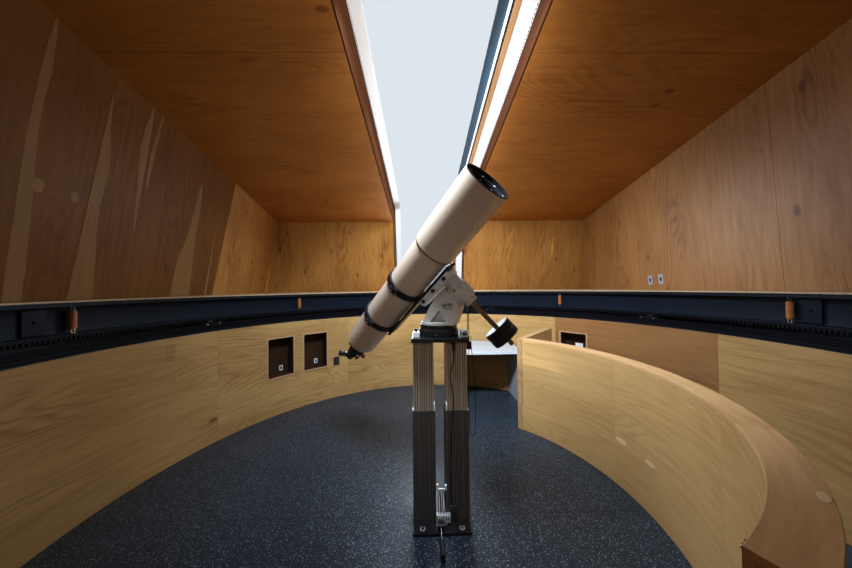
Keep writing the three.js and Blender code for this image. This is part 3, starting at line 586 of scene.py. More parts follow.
def lathe(bm, profile, place=None, sides=48, start=0.0, sweep=360.0, index=0):
    """Turns a closed outline of (radius, height) about the local Z axis, whole or as an arc."""
    place = place or Matrix()
    uv = bm.loops.layers.uv[GRAIN_MAP]
    whole = abs(sweep) > 359.99
    count = sides if whole else sides + 1
    rings = []
    for i in range(count):
        a = math.radians(start + sweep * i / sides)
        ring = [bm.verts.new(place @ Vector((r * math.cos(a), r * math.sin(a), z))) for r, z in profile]
        rings.append(ring)
    steps = [math.dist(profile[j], profile[(j + 1) % len(profile)]) for j in range(len(profile))]
    runs = [sum(steps[:j]) for j in range(len(profile) + 1)]
    widest = max(r for r, _ in profile)
    shift = random_shift()
    faces = []
    for i in range(sides):
        here, there = rings[i], rings[(i + 1) % count]
        spans = [math.radians(sweep * (i + k) / sides) * widest for k in (0, 1)]
        for j in range(len(profile)):
            k = (j + 1) % len(profile)
            if profile[j][0] < ON_AXIS and profile[k][0] < ON_AXIS:
                continue
            face = bm.faces.new((here[j], there[j], there[k], here[k]))
            corners = ((0, j), (1, j), (1, j + 1), (0, j + 1))
            for loop, (side, step) in zip(face.loops, corners):
                loop[uv].uv = Vector((spans[side], runs[step])) + shift
            faces.append(face)
    if not whole:
        faces += [bm.faces.new(rings[0]), bm.faces.new(list(reversed(rings[-1])))]
    for face in faces:
        face.material_index = index
    if any(r < ON_AXIS for r, _ in profile):
        bmesh.ops.remove_doubles(bm, verts=[v for ring in rings for v in ring], dist=1e-6)


def facing(direction, at=(0, 0, 0), up=(0, 0, 1)):
    """A frame at a point whose Z axis is the direction given."""
    z = Vector(direction).normalized()
    x = Vector(up).cross(z)
    if x.length < 1e-6:
        x = ACROSS.cross(z)
    x.normalize()
    y = z.cross(x)
    return Matrix.Translation(Vector(at)) @ Matrix((x, y, z)).transposed().to_4x4()


def section(r0, r1, z0, z1):
    """The outline of a plain ring, or of a disc where r0 is 0."""
    return [(r0, z0), (r1, z0), (r1, z1), (r0, z1)]


def bar(bm, a, b, radius, sides=16, index=0, soften=0.0, place=None):
    """A round bar from a to b, with its ends softened."""
    place = place or Matrix()
    a, b = place @ Vector(a), place @ Vector(b)
    long, s = (b - a).length, soften
    profile = section(0, radius, 0, long)
    if soften:
        profile = [(0, 0), (radius - s, 0), (radius, s), (radius, long - s), (radius - s, long), (0, long)]
    lathe(bm, profile, facing(b - a, a), sides, index=index)


def bolt(bm, at, way, size, index=0, place=None):
    """A hexagon head on a washer, standing out along way."""
    place = place or Matrix()
    on = facing(place.to_3x3() @ Vector(way), place @ Vector(at))
    washer, shoulder, top = size * 0.16, size * 0.55, size * 0.62
    lathe(bm, section(0, size * 0.95, 0, washer), on, 16, index=index)
    head = [(0, washer), (size * 0.62, washer), (size * 0.62, shoulder), (size * 0.5, top), (0, top)]
    lathe(bm, head, on, 6, index=index)


def turned(name, profile, place, sides, finish, body, smooth=35, **more):
    """A piece that is one turned outline."""
    bm = new_mesh()
    lathe(bm, profile, place, sides)
    return keep(name, bm, finish, body, smooth, **more)


def boxed(name, rows, finishes, body, place=None, **more):
    """A piece made of boxes. Rows are two corners and, where there is more than one, the finish."""
    bm = new_mesh()
    for low, high, *index in rows:
        brick(bm, low, high, place, *index)
    return keep(name, bm, finishes, body, **more)


def oval(half_wide, half_high, count):
    turns = [math.tau * k / count for k in range(count)]
    return [(half_wide * math.cos(a), half_high * math.sin(a)) for a in turns]


def radial(angle, at=(0, 0, 0)):
    """A frame turned about the middle line: X points outwards and Y round the wall."""
    return Matrix.Rotation(math.radians(angle), 4, "Z") @ Matrix.Translation(Vector(at))


def curved_panel(bm, r_in, r_out, angles, heights, holes=()):
    """A curved board between two radii. angles and heights are its ends; holes are (a0, a1, z0, z1)."""
    uv = bm.loops.layers.uv[GRAIN_MAP]
    stops = set(angles) | {a for h in holes for a in h[:2]}
    steps = max(2, int(abs(angles[1] - angles[0]) / PANEL_STEP))
    stops |= {angles[0] + (angles[1] - angles[0]) * i / steps for i in range(steps + 1)}
    stops = sorted(stops)
    stops = [a for i, a in enumerate(stops) if i == 0 or a - stops[i - 1] > 1e-5]
    levels = sorted(set(heights) | {z for h in holes for z in h[2:]})
    shift = random_shift()

    def filled(i, j):
        if not (0 <= i < len(stops) - 1 and 0 <= j < len(levels) - 1):
            return False
        a, z = (stops[i] + stops[i + 1]) / 2, (levels[j] + levels[j + 1]) / 2
        return not any(a0 < a < a1 and z0 < z < z1 for a0, a1, z0, z1 in holes)

    made = {}

    def corner(i, j, r):
        if (i, j, r) not in made:
            a = math.radians(stops[i])
            made[i, j, r] = bm.verts.new((r * math.cos(a), r * math.sin(a), levels[j]))
        return made[i, j, r]

    def quad(points, flat):
        face = bm.faces.new([corner(*p) for p in points])
        for loop, (i, j, _), extra in zip(face.loops, points, flat):
            loop[uv].uv = Vector((math.radians(stops[i]) * r_in, levels[j] + extra)) + shift

    wide = r_out - r_in
    for i in range(len(stops) - 1):
        for j in range(len(levels) - 1):
            if not filled(i, j):
                continue
            for r in (r_in, r_out):
                quad([(i, j, r), (i + 1, j, r), (i + 1, j + 1, r), (i, j + 1, r)], (0, 0, 0, 0))
            for on, p, q in (
                (filled(i, j - 1), (i, j), (i + 1, j)),
                (filled(i, j + 1), (i, j + 1), (i + 1, j + 1)),
                (filled(i - 1, j), (i, j), (i, j + 1)),
                (filled(i + 1, j), (i + 1, j), (i + 1, j + 1)),
            ):
                if not on:
                    quad([(*p, r_in), (*q, r_in), (*q, r_out), (*p, r_out)], (0, 0, wide, wide))


def outline_of(node, way):
    """The flat side of a CAD node that looks along way, as a bmesh that holds only that side."""
    bm = bmesh.new()
    bm.from_mesh(cad[node].data)
    bmesh.ops.remove_doubles(bm, verts=bm.verts[:], dist=2e-5)
    bm.normal_update()
    seen = [f for f in bm.faces if f.normal.dot(way) > 0.999]
    reach = max(f.calc_center_median().dot(way) for f in seen)
    wanted = {f for f in seen if f.calc_center_median().dot(way) > reach - 0.003}
    bmesh.ops.delete(bm, geom=[f for f in bm.faces if f not in wanted], context="FACES")
    bmesh.ops.dissolve_limit(bm, angle_limit=0.02, verts=bm.verts[:], edges=bm.edges[:])
    return bm


def cut_along(bm, at, normal, reach=1e-5):
    """Cuts a mesh along a plane, and gives the edges and corners of the cut."""
    geometry = bm.verts[:] + bm.edges[:] + bm.faces[:]
    return bmesh.ops.bisect_plane(bm, geom=geometry, dist=reach, plane_co=at, plane_no=normal)["geom_cut"]


def boards_on(bm, node, way, along, cuts, pick=None):
    """Covers the side of a node that looks along way with boards, cut at the planes given."""
    side = outline_of(node, way)
    for at, normal in cuts:
        cut_along(side, at, normal)
    rim = bmesh.ops.inset_individual(side, faces=side.faces[:], thickness=BOARD_GAP, depth=0)["faces"]
    bmesh.ops.delete(side, geom=rim, context="FACES")
    across = way.cross(along).normalized()
    for face in side.faces:
        outline = [v.co + way * BOARD_LIFT for v in face.verts]
        index = pick(face.calc_center_median()) if pick else 0
        grain_map(bm, prism(bm, outline, way * LINING, index), along, across)
    side.free()


def seams_on(bm, node, way, up, pitch, high, low_z=-9.0):
    """Standing seams on the outside of a flat CAD side: thin ribs that run along up, a pitch apart."""
    across = way.cross(up).normalized()
    side = outline_of(node, way)
    reach = [v.co.dot(across) for v in side.verts]
    first = math.ceil(min(reach) / pitch)
    last = math.floor(max(reach) / pitch)
    for k in range(first, last + 1):
        probe = side.copy()
        found = cut_along(probe, across * (k * pitch), across, 0.0)
        for edge in (e for e in found if isinstance(e, bmesh.types.BMEdge)):
            a, b = sorted((v.co.copy() for v in edge.verts), key=lambda p: p.dot(up))
            if a.z < low_z < b.z:
                a = a.lerp(b, (low_z - a.z) / (b.z - a.z))
            if (b - a).length < 0.05:
                continue
            half = across * (SEAM_WIDE / 2)
            prism(bm, [a - half, a + half, b + half, b - half], way * high)
        probe.free()
    side.free()


# Building

LINING_JOINTS = (-65.3, -28.3, 8.8, 45.9, 83.0, 120.1, 157.2, 194.3, 231.4, 263.0, 294.7)
JOINT_HALF = 0.016
DARK_SHEET = 8.8
NICHES = (141.2, 130.8, 40.7)
NICHE_HALF = 4.0
NICHE_LOW, NICHE_HIGH = FLOOR + 0.443, FLOOR + 0.946
NICHE_DEEP, NICHE_BOARD = 0.150, 0.017
GUARD_IN, GUARD_OUT, GUARD_SKIN = 1.398, 1.511, 0.018
GUARD_FROM, GUARD_TO = -65.3, 46.9
GUARD_TOP = FLOOR + 0.963
SKIN_JOINTS = (GUARD_FROM, -27.9, 9.4, GUARD_TO)
TOP_JOINTS = (GUARD_FROM, -33.0, 4.0, GUARD_TO)
PATCH_THICK = 0.0012
OUTLET_ANGLE, VENTS_ANGLE, SWITCH_ANGLE, LATCH_ANGLE = 124.05, 166.9, 40.2, -63.4
CARRIAGES = 8
SEAMS_ROUND = 48


def round_lining():
    """Plywood sheets round the observing room, bent along their grain and cut out at the niches."""
    for number, start in enumerate(LINING_JOINTS):
        following = LINING_JOINTS[(number + 1) % len(LINING_JOINTS)]
        end = following if following > start else following + 360
        holes = []
        for angle in (niche + turn for niche in NICHES for turn in (0, 360)):
            if start < angle < end:
                holes.append((angle - NICHE_HALF, angle + NICHE_HALF, NICHE_LOW, NICHE_HIGH))
        bm = new_mesh()
        angles, heights = (start + JOINT_HALF, end - JOINT_HALF), (FLOOR + 0.0005, WALL_TOP - 0.0005)
        curved_panel(bm, ROOM_R - LINING, ROOM_R - 0.0003, angles, heights, holes)
        finish = DARK_DRUM_PLY if start == DARK_SHEET else DRUM_PLY
        keep(f"room_lining_{number + 1}", bm, finish, "building")


def niche_boxes():
    """Each niche is a plywood box with its edge showing as a thin frame, and painted dark inside as painted
    shade.
    """
    half = math.radians(NICHE_HALF) * ROOM_R - 0.0006
    back = ROOM_R + NICHE_DEEP - 0.001
    front = ROOM_R * math.cos(math.radians(NICHE_HALF)) - LINING - 0.004
    low, high = NICHE_LOW + 0.0005, NICHE_HIGH - 0.0005
    wide_in, low_in, high_in = half - NICHE_BOARD, low + NICHE_BOARD, high - NICHE_BOARD
    front_in, back_in, thin = front + 0.012, back - 0.006, 0.002
    for number, angle in enumerate(NICHES):
        place = radial(angle)
        outward, sideways = place.to_3x3() @ ACROSS, place.to_3x3() @ ALONG
        bm = new_mesh()
        for corner, opposite in (
            ((front, -half, low), (back, half, low_in)),
            ((front, -half, high_in), (back, half, high)),
            ((front, -half, low_in), (back, -wide_in, high_in)),
            ((front, wide_in, low_in), (back, half, high_in)),
        ):
            grain_map(bm, brick(bm, corner, opposite, place), outward, (sideways + UP).normalized())
        keep(f"niche_frame_{number + 1}", bm, NICHE_EDGE, "building", smooth=0)
        bm = new_mesh()
        grain_map(bm, brick(bm, (back_in, -wide_in, low_in), (back, wide_in, high_in), place), sideways, UP)
        for z in (low_in, high_in - thin):
            faces = brick(bm, (front_in, -wide_in, z), (back_in, wide_in, z + thin), place)
            grain_map(bm, faces, sideways, outward)
        for y in (-wide_in, wide_in - thin):
            faces = brick(bm, (front_in, y, low_in + thin), (back_in, y + thin, high_in - thin), place)
            grain_map(bm, faces, UP, outward)
        keep(f"niche_inside_painted_shade_{number + 1}", bm, NICHE_SHADE_PLY, "building", smooth=0)


def wall_fittings():
    """A black outlet and a field of vent holes in the round wall, a switch and two outlets in its niches."""
    front, back = ROOM_R - LINING, ROOM_R + NICHE_DEEP - 0.007
    rows = [((front - 0.007, -0.040, FLOOR + 0.452), (front, 0.040, FLOOR + 0.566), 0)]
    for z in (FLOOR + 0.482, FLOOR + 0.536):
        rows.append(((front - 0.009, -0.017, z - 0.015), (front - 0.006, 0.017, z + 0.015), 1))
        for y in (-0.007, 0.007):
            low, high = (front - 0.0095, y - 0.0013, z - 0.005), (front - 0.0085, y + 0.0013, z + 0.005)
            rows.append((low, high, 2))
    finishes = (BLACK_PLASTIC, DARK_PLASTIC, SHADOW_BLACK)
    boxed("wall_outlet", rows, finishes, "building", radial(OUTLET_ANGLE), bevel=0.0012)
    bm = new_mesh()
    place = radial(VENTS_ANGLE)
    for row in range(9):
        for column in range(6):
            at = (front, -0.032 + 0.0128 * column, FLOOR + 0.925 + 0.016 * row)
            lathe(bm, section(0, 0.0034, 0, 0.0012), place @ facing(-ACROSS, at), 8)
    keep("wall_vent_holes", bm, SHADOW_BROWN, "building")
    rows = [
        ((back - 0.009, -0.045, NICHE_LOW + 0.18), (back, 0.045, NICHE_LOW + 0.34), 0),
        ((back - 0.012, -0.018, NICHE_LOW + 0.22), (back - 0.008, 0.018, NICHE_LOW + 0.30), 1),
    ]
    finishes = (WHITE_PLASTIC, PALE_PLASTIC)
    boxed("niche_switch", rows, finishes, "building", radial(SWITCH_ANGLE), bevel=0.0015)
    for number, (angle, y) in enumerate(((141.2, -0.06), (130.8, -0.05))):
        rows = [
            ((back - 0.008, y - 0.022, NICHE_LOW + 0.050), (back, y + 0.022, NICHE_LOW + 0.112), 0),
            ((back - 0.010, y - 0.012, NICHE_LOW + 0.062), (back - 0.007, y + 0.012, NICHE_LOW + 0.100), 1),
        ]
        finishes = (PALE_PLASTIC, DARK_PLASTIC)
        boxed(f"niche_outlet_{number + 1}", rows, finishes, "building", radial(angle), bevel=0.0012)


def stair_guard():
    """The curved guard of the stair opening: two skins on a core, a wide top, and a latch at its end."""
    low, high = FLOOR + 0.0005, GUARD_TOP - 0.0183
    skins = ((GUARD_IN, GUARD_IN + GUARD_SKIN), (GUARD_OUT - GUARD_SKIN, GUARD_OUT - 0.0004))
    bm = new_mesh()
    for start, end in zip(SKIN_JOINTS, SKIN_JOINTS[1:]):
        for r_in, r_out in skins:
            curved_panel(bm, r_in, r_out, (start + 0.012, end - 0.012), (low, high))
    core = new_mesh()
    curved_panel(core, GUARD_IN + GUARD_SKIN, GUARD_OUT - GUARD_SKIN, (GUARD_FROM, GUARD_TO), (low, high))
    keep("stair_guard_core", core, PLY_EDGE, "building")
    keep("stair_guard_skins", bm, GUARD_PLY, "building", solid=("plywood", "stair_guard"))
    edge, under, soft = GUARD_IN - 0.0004, GUARD_TOP - 0.018, 0.0015
    profile = [(edge, under), (GUARD_OUT, under), (GUARD_OUT, GUARD_TOP - soft)]
    profile += [(GUARD_OUT - soft, GUARD_TOP), (edge + soft, GUARD_TOP), (edge, GUARD_TOP - soft)]
    bm = new_mesh()
    for start, end in zip(TOP_JOINTS, TOP_JOINTS[1:]):
        lathe(bm, profile, sides=40, start=start + 0.01, sweep=end - start - 0.02)
    keep("stair_guard_top", bm, CAP_PLY, "building", solid=("plywood", "stair_guard_cap"))
    bm = new_mesh()
    place = radial(LATCH_ANGLE)
    for y in (-0.012, 0.006):
        brick(bm, (GUARD_IN - 0.010, y, FLOOR + 0.932), (GUARD_IN, y + 0.006, FLOOR + 0.946), place)
    pin, z = GUARD_IN - 0.007, FLOOR + 0.939
    bar(bm, (pin, -0.018, z), (pin, 0.018, z), 0.0035, 12, place=place)
    keep("guard_latch", bm, CHROME, "building", bevel=0.001)


def guard_patches():
    """Boat-shaped veneer patches let into the guard's inner skin, and one in its top."""
    bm = new_mesh()
    for angle, z, half in ((7.2, 0.352, 0.048), (-3.0, 0.342, 0.042)):
        place = radial(angle)
        x = math.sqrt(GUARD_IN ** 2 - half ** 2) - 0.0002
        outline = [place @ Vector((x, y, FLOOR + z + rise)) for y, rise in oval(half, 0.42 * half, 24)]
        outward = place.to_3x3() @ ACROSS
        grain_map(bm, prism(bm, outline, outward * PATCH_THICK), outward.cross(UP), UP)
    place = radial(-50.1, (1.494, 0, GUARD_TOP - 0.0002))
    outline = [place @ Vector((x, y, 0)) for x, y in oval(0.012, 0.027, 24)]
    tangent = place.to_3x3() @ ALONG
    grain_map(bm, prism(bm, outline, UP * PATCH_THICK), tangent, tangent.cross(UP), Vector((3, 5)))
    keep("guard_patches", bm, PATCH_PLY, "building", smooth=0)


def curb():
    """The fixed track under the turret's ring: a ribbed upright, and eight carriages with a wheel each."""
    low, top = WALL_TOP + 0.0003, WALL_TOP + 0.072
    profile = [(2.408, low), (2.560, low), (2.560, low + 0.014)]
    profile += [(2.468, low + 0.014), (2.468, top), (2.424, top)]
    z = top
    while z > low + 0.030:
        profile += [(2.424, z - 0.006), (2.432, z - 0.008), (2.432, z - 0.012), (2.424, z - 0.014)]
        z -= 0.014
    profile += [(2.424, low + 0.014), (2.408, low + 0.012)]
    turned("curb_track", profile, None, 180, CURB_STEEL, "building", 40, solid=("ring_steel", "curb_rail"))
    wheel = [(0, 0), (0.024, 0), (0.024, 0.010), (0.0215, 0.012), (0.024, 0.014), (0.024, 0.028), (0, 0.028)]
    for number in range(CARRIAGES):
        place = radial(360 / CARRIAGES * (number + 0.5))
        bm = new_mesh()
        brick(bm, (2.440, -0.092, low + 0.016), (2.518, 0.092, low + 0.050), place)
        brick(bm, (2.438, -0.095, low + 0.044), (2.486, 0.095, RACK_BOTTOM - 0.008), place)
        for y in (-0.062, 0.062):
            brick(bm, (2.488, y - 0.006, low + 0.030), (2.520, y + 0.006, RING_TOP - 0.225), place)
            bolt(bm, (2.438, y * 0.9, low + 0.066), -ACROSS, 0.013, 1, place)
        lathe(bm, wheel, place @ facing(ACROSS, (2.489, 0, RING_LOW - 0.0245)), 32, index=1)
        keep(f"carriage_{number + 1}", bm, (CURB_STEEL, BRIGHT_STEEL), "building", bevel=0.002)


def desk_trim():
    """A thin pale edge along the front of the worktop."""
    low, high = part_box("desk")
    rows = [((low.x - 0.001, low.y - 0.0015, high.z - 0.030), (high.x + 0.001, low.y, high.z - 0.0005))]
    boxed("desk_edge", rows, PALE_PLASTIC, "building", bevel=0.0006)


def entrance_details():
    """Plain door fittings: lever handles, hinges, a kick plate, a raised frame, a drip and a threshold."""
    low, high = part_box("entrance_door")
    hand, lever_z, lock_z = high.x - 0.075, SLAB + 1.02, SLAB + 0.93
    bm = new_mesh()
    for side, y in ((-1, low.y), (1, high.y)):
        rose, lever = y + side * 0.008, y + side * 0.050
        for z in (lever_z, lock_z):
            bar(bm, (hand, y, z), (hand, rose, z), 0.026, 24, soften=0.001)
        bar(bm, (hand, rose, lever_z), (hand, y + side * 0.052, lever_z), 0.010, soften=0.001)
        bar(bm, (hand + 0.008, lever, lever_z), (hand - 0.118, lever, lever_z), 0.010, soften=0.003)
        bar(bm, (hand, rose, lock_z), (hand, y + side * 0.014, lock_z), 0.011, soften=0.001)
    keep("door_handles", bm, BRIGHT_STEEL, "building")
    bm = new_mesh()
    x, y = low.x - 0.002, low.y - 0.006
    for z in (SLAB + 0.22, SLAB + 1.02, SLAB + 1.82):
        bar(bm, (x, y, z - 0.055), (x, y, z + 0.055), 0.008, soften=0.001)
    keep("door_hinges", bm, BRIGHT_STEEL, "building")
    x0, x1, z0, z1 = low.x + 0.09, high.x - 0.09, SLAB + 0.30, high.z - 0.10
    strip = 0.012
    rows = [((low.x + 0.02, low.y - 0.0015, SLAB + 0.012), (high.x - 0.02, low.y, SLAB + 0.21), 0)]
    for a0, a1, b0, b1 in (
        (x0, x1, z0, z0 + strip),
        (x0, x1, z1 - strip, z1),
        (x0, x0 + strip, z0 + strip, z1 - strip),
        (x1 - strip, x1, z0 + strip, z1 - strip),
    ):
        rows.append(((a0, low.y - 0.004, b0), (a1, low.y, b1), 1))
    boxed("door_plates", rows, (BRIGHT_STEEL, DOOR_PAINT), "building", bevel=0.0006)
    low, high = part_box("door_frame")
    rows = [
        ((low.x + 0.002, low.y - 0.028, high.z - 0.004), (high.x - 0.002, low.y + 0.02, high.z)),
        ((low.x + 0.046, low.y - 0.01, SLAB), (high.x - 0.046, low.y + 0.1, SLAB + 0.010)),
    ]
    boxed("door_drip_and_threshold", rows, CLAD_TRIM, "building", bevel=0.001)


def lower_lining():
    """The lower room's plain lining, with the doorway left open."""
    half = math.degrees(0.482 / ROOM_R)
    hole = (-90 - half, -90 + half, SLAB + 0.0006, SLAB + 2.081)
    bm = new_mesh()
    curved_panel(bm, ROOM_R - LINING, ROOM_R - 0.0003, (-180, 180), (SLAB + 0.0005, FLOOR - 0.2205), [hole])
    keep("lower_room_lining", bm, DRUM_PLY, "building")


def outside_cladding():
    """Standing seams round the wall, shorter over the door, a plinth flashing and a cap flashing."""
    plinth, over_door, cap = SLAB + 0.16, SLAB + 2.24, WALL_TOP - 0.10
    door_half = 13
    bm = new_mesh()
    for k in range(SEAMS_ROUND):
        from_door = (360 / SEAMS_ROUND * (k + 0.5) + 180) % 360 - 180
        low = over_door if abs(from_door) < door_half else plinth
        brick(bm, (WALL_R - 0.004, -0.004, low), (WALL_R + 0.020, 0.004, cap), radial(from_door - 90))
    keep("drum_seams", bm, CLADDING, "building", smooth=0, bevel=0.0012)
    door = math.degrees(0.53 / WALL_R)
    bm = new_mesh()
    for thick, angles, heights in (
        (0.012, (-90 + door, 270 - door), (SLAB + 0.001, plinth)),
        (0.024, (-90, 90), (cap, WALL_TOP - 0.001)),
        (0.024, (90, 270), (cap, WALL_TOP - 0.001)),
    ):
        curved_panel(bm, WALL_R + 0.0002, WALL_R + thick, angles, heights)
    keep("drum_flashings", bm, CLAD_TRIM, "building")


# Turret

RING_IN, RING_WEB, RING_OUT = 2.460, 2.512, 2.524
RING_LOW = RING_TOP - 0.202
RING_MIDDLE = (RING_LOW + RING_TOP) / 2
RACK_R = 2.482
FLANGE = 0.012
TEETH, GRIPS = 616, 8
GRIP_AT, GRIP_HALF = 2.482, 0.060
WEB_SEAMS, FIRST_WEB_SEAM = 5, 17.3
SPLICES_AT = (-2.0, 184.0)
SKIRT_IN, SKIRT_OUT = 2.628, 2.636
SKIRT_HEM_IN, SKIRT_HEM_OUT = 2.622, 2.640
REVEAL = 0.012
SEAM_START, SEAM_PITCH, SEAM_HIGH = 0.14, 0.42, 0.014

# Pale sapwood in the left wall's sheets, as rows of a height and the y of both edges

SAPWOOD_FOOT = DECK_TOP + 0.006
SAPWOOD_SHAPES = (
    (
        (SAPWOOD_FOOT, -0.285, -0.200),
        (4.70, -0.290, -0.215),
        (5.30, -0.295, -0.250),
        (5.70, -0.282, -0.236),
        (5.98, -0.256, -0.246),
    ),
    (
        (SAPWOOD_FOOT, 0.021, 0.181),
        (4.62, 0.036, 0.150),
        (4.96, 0.053, 0.130),
        (5.28, 0.069, 0.150),
        (5.53, 0.081, 0.118),
        (5.80, 0.095, 0.099),
    ),
    ((4.85, 0.400, 0.404), (5.19, 0.372, 0.408), (5.58, 0.350, 0.414), (5.88, 0.400, 0.414)),
    ((5.22, 0.442, 0.450), (5.50, 0.440, 0.474), (5.89, 0.492, 0.499)),
    (
        (SAPWOOD_FOOT, 0.861, 1.108),
        (4.64, 0.882, 1.092),
        (4.93, 0.962, 1.068),
        (5.17, 0.996, 1.082),
        (5.40, 1.020, 1.066),
        (5.50, 1.038, 1.046),
    ),
    ((SAPWOOD_FOOT, -0.930, -0.800), (4.80, -0.900, -0.780), (5.40, -0.860, -0.800), (6.0, -0.830, -0.824)),
    ((SAPWOOD_FOOT, 1.335, 1.372), (4.70, 1.350, 1.372), (5.10, 1.366, 1.370)),
)


def turret_ring():
    """The hand-turned steel channel with a toothed strip below it, its joints and splice plates."""
    lip = 0.0015
    inner = [(RING_IN + lip, 0), (RING_IN, lip), (RING_IN, FLANGE - lip), (RING_IN + lip, FLANGE)]
    inner += [(RING_WEB - 0.010, FLANGE + 0.001), (RING_WEB - 0.003, FLANGE + 0.004)]
    inner += [(RING_WEB, FLANGE + 0.012)]
    profile = [(RACK_R, RING_LOW), (RING_OUT, RING_LOW), (RING_OUT, RING_TOP)]
    profile += [(r, RING_TOP - z) for r, z in inner]
    profile += [(r, RING_LOW + z) for r, z in reversed(inner)]
    turned(
        "ring_channel", profile, None, 240, RING_PAINT, "turret", 40,
        solid=("ring_steel", "turret_ring_left", "turret_ring_right"),
    )
    bm = new_mesh()
    lathe(bm, section(2.466, RACK_R, RING_LOW - 0.012, RING_LOW), sides=240)
    low, high = (RING_IN + 0.0005, -0.0062, RACK_BOTTOM + 0.0005), (2.474, 0.0062, RING_LOW - 0.010)
    for k in range(TEETH):
        brick(bm, low, high, radial(360 / TEETH * k))
    keep("ring_teeth", bm, CURB_STEEL, "turret", smooth=0)
    bm = new_mesh()
    low, high = (RING_WEB - 0.0012, -0.0012, RING_LOW + 0.013), (RING_WEB + 0.001, 0.0012, RING_TOP - 0.013)
    for k in range(WEB_SEAMS):
        brick(bm, low, high, radial(FIRST_WEB_SEAM + 360 / WEB_SEAMS * k))
    keep("ring_web_seams", bm, SHADOW_BLACK, "turret", smooth=0)
    bm = new_mesh()
    low, high = (RING_WEB - 0.014, -0.055, RING_LOW + 0.022), (RING_WEB, 0.055, RING_TOP - 0.022)
    for angle in SPLICES_AT:
        place = radial(angle)
        brick(bm, low, high, place)
        bolt(bm, (RING_WEB - 0.014, 0, RING_MIDDLE), -ACROSS, 0.012, 1, place)
    keep("ring_splices", bm, (RING_PAINT, CURB_STEEL), "turret", bevel=0.002)


def ring_grips():
    """Eight wooden grips on twin chromed pins, between the ring's flanges."""
    upper = [(0.0195, 0.02), (0.019, GRIP_HALF - 0.003), (0.0165, GRIP_HALF), (0, GRIP_HALF)]
    profile = [(r, -z) for r, z in reversed(upper)] + upper
    for number in range(GRIPS):
        place = radial(360 / GRIPS * number)
        grip_place = place @ Matrix.Translation((GRIP_AT, 0, RING_MIDDLE))
        turned(f"grip_{number + 1}", profile, grip_place, 32, GRIP_WOOD, "turret", 30)
        bm = new_mesh()
        for end, outer in ((-1, RING_LOW + FLANGE), (1, RING_TOP - FLANGE)):
            inner = RING_MIDDLE + end * GRIP_HALF
            for y, a, b, radius, sides in (
                (-0.0085, inner, outer, 0.0034, 12),
                (0.0085, inner, outer, 0.0034, 12),
                (0, inner, inner + end * 0.003, 0.017, 24),
                (0, outer - end * 0.003, outer, 0.015, 24),
            ):
                bar(bm, (GRIP_AT, y, a), (GRIP_AT, y, b), radius, sides, place=place)
        keep(f"grip_pins_{number + 1}", bm, CHROME, "turret")


def inside_way(name):
    return -FACES[name][0]


def up_the_face(name):
    """The steepest way up an inner face."""
    way = inside_way(name)
    return (UP - way * UP.dot(way)).normalized()


def turret_lining():
    """Fir plywood on the five inner faces, with upright grain on the walls and grain across the ceiling."""
    leaning = ((1.126, -0.082), (-0.1985, -0.05), (-1.40, 0.02))
    joints = {
        "left": [((0, y, 0), (0, 1, lean)) for y, lean in leaning],
        "right": [((0, y, 0), ALONG) for y in (1.66, 0.18, -1.32)],
        "far": [((x, 0, 0), ACROSS) for x in (-1.46, 2.49)],
        "near": [((x, 0, 0), ACROSS) for x in (-1.5, 0.0, 1.5)],
    }
    for face, cuts in joints.items():
        bm = new_mesh()
        cuts = [(Vector(at), Vector(normal).normalized()) for at, normal in cuts]
        # The left wall's sheet at the far end takes the far wall's finish, without the left wall's painted
        # shade.
        last_sheet = (lambda middle: int(middle.y > 1.6)) if face == "left" else None
        boards_on(bm, f"turret_wall_{face}", inside_way(face), up_the_face(face), cuts, pick=last_sheet)
        keep(f"lining_{face}", bm, (TURRET_PLY[face], TURRET_PLY["far"]), "turret", smooth=0)
    for side in ("left", "right"):
        bm = new_mesh()
        cuts = [(Vector((0, y, 0)), ALONG) for y in (-0.05, -1.60)]
        boards_on(bm, f"turret_roof_{side}", inside_way("roof"), ACROSS, cuts)
        keep(f"lining_ceiling_{side}", bm, CEILING_PLY, "turret", smooth=0)


def face_height(name, y, push=0.0):
    """How high the roof or the far wall stands at y, pushed outwards by so much."""
    normal, distance = FACES[name]
    return (distance + push - normal.y * y) / normal.z


def roof_meets_far(push=0.0):
    """The y and z where the roof and the far wall, both pushed outwards, cross."""
    (a, da), (b, db) = FACES["roof"], FACES["far"]
    da, db = da + push, db + push
    det = a.y * b.z - a.z * b.y
    return (da * b.z - a.z * db) / det, (a.y * db - da * b.y) / det


def far_at(z, push=0.0):
    """The y of the far wall at a height, pushed outwards by so much."""
    normal, distance = FACES["far"]
    return (distance + push - normal.z * z) / normal.y


def slit_strip(bm, low, high, x0, x1, y_back=SLIT_BACK, z_low=SILL):
    """Boards that follow the roof and the far wall along the slit: low and high are off the inner face."""
    inner, outer = roof_meets_far(low), roof_meets_far(high)
    z0, z1 = face_height("roof", y_back, low), face_height("roof", y_back, high)
    roof = [(y_back, z0), inner, outer, (y_back, z1)]
    far = [(far_at(z_low, low), z_low), inner, outer, (far_at(z_low, high), z_low)]
    for outline in (roof, far):
        corners = [Vector((x0, y, z)) for y, z in outline]
        faces = prism(bm, corners, Vector((x1 - x0, 0, 0)))
        way = (corners[1] - corners[0]).normalized()
        grain_map(bm, faces, way, ACROSS.cross(way) + ACROSS * 0.7)


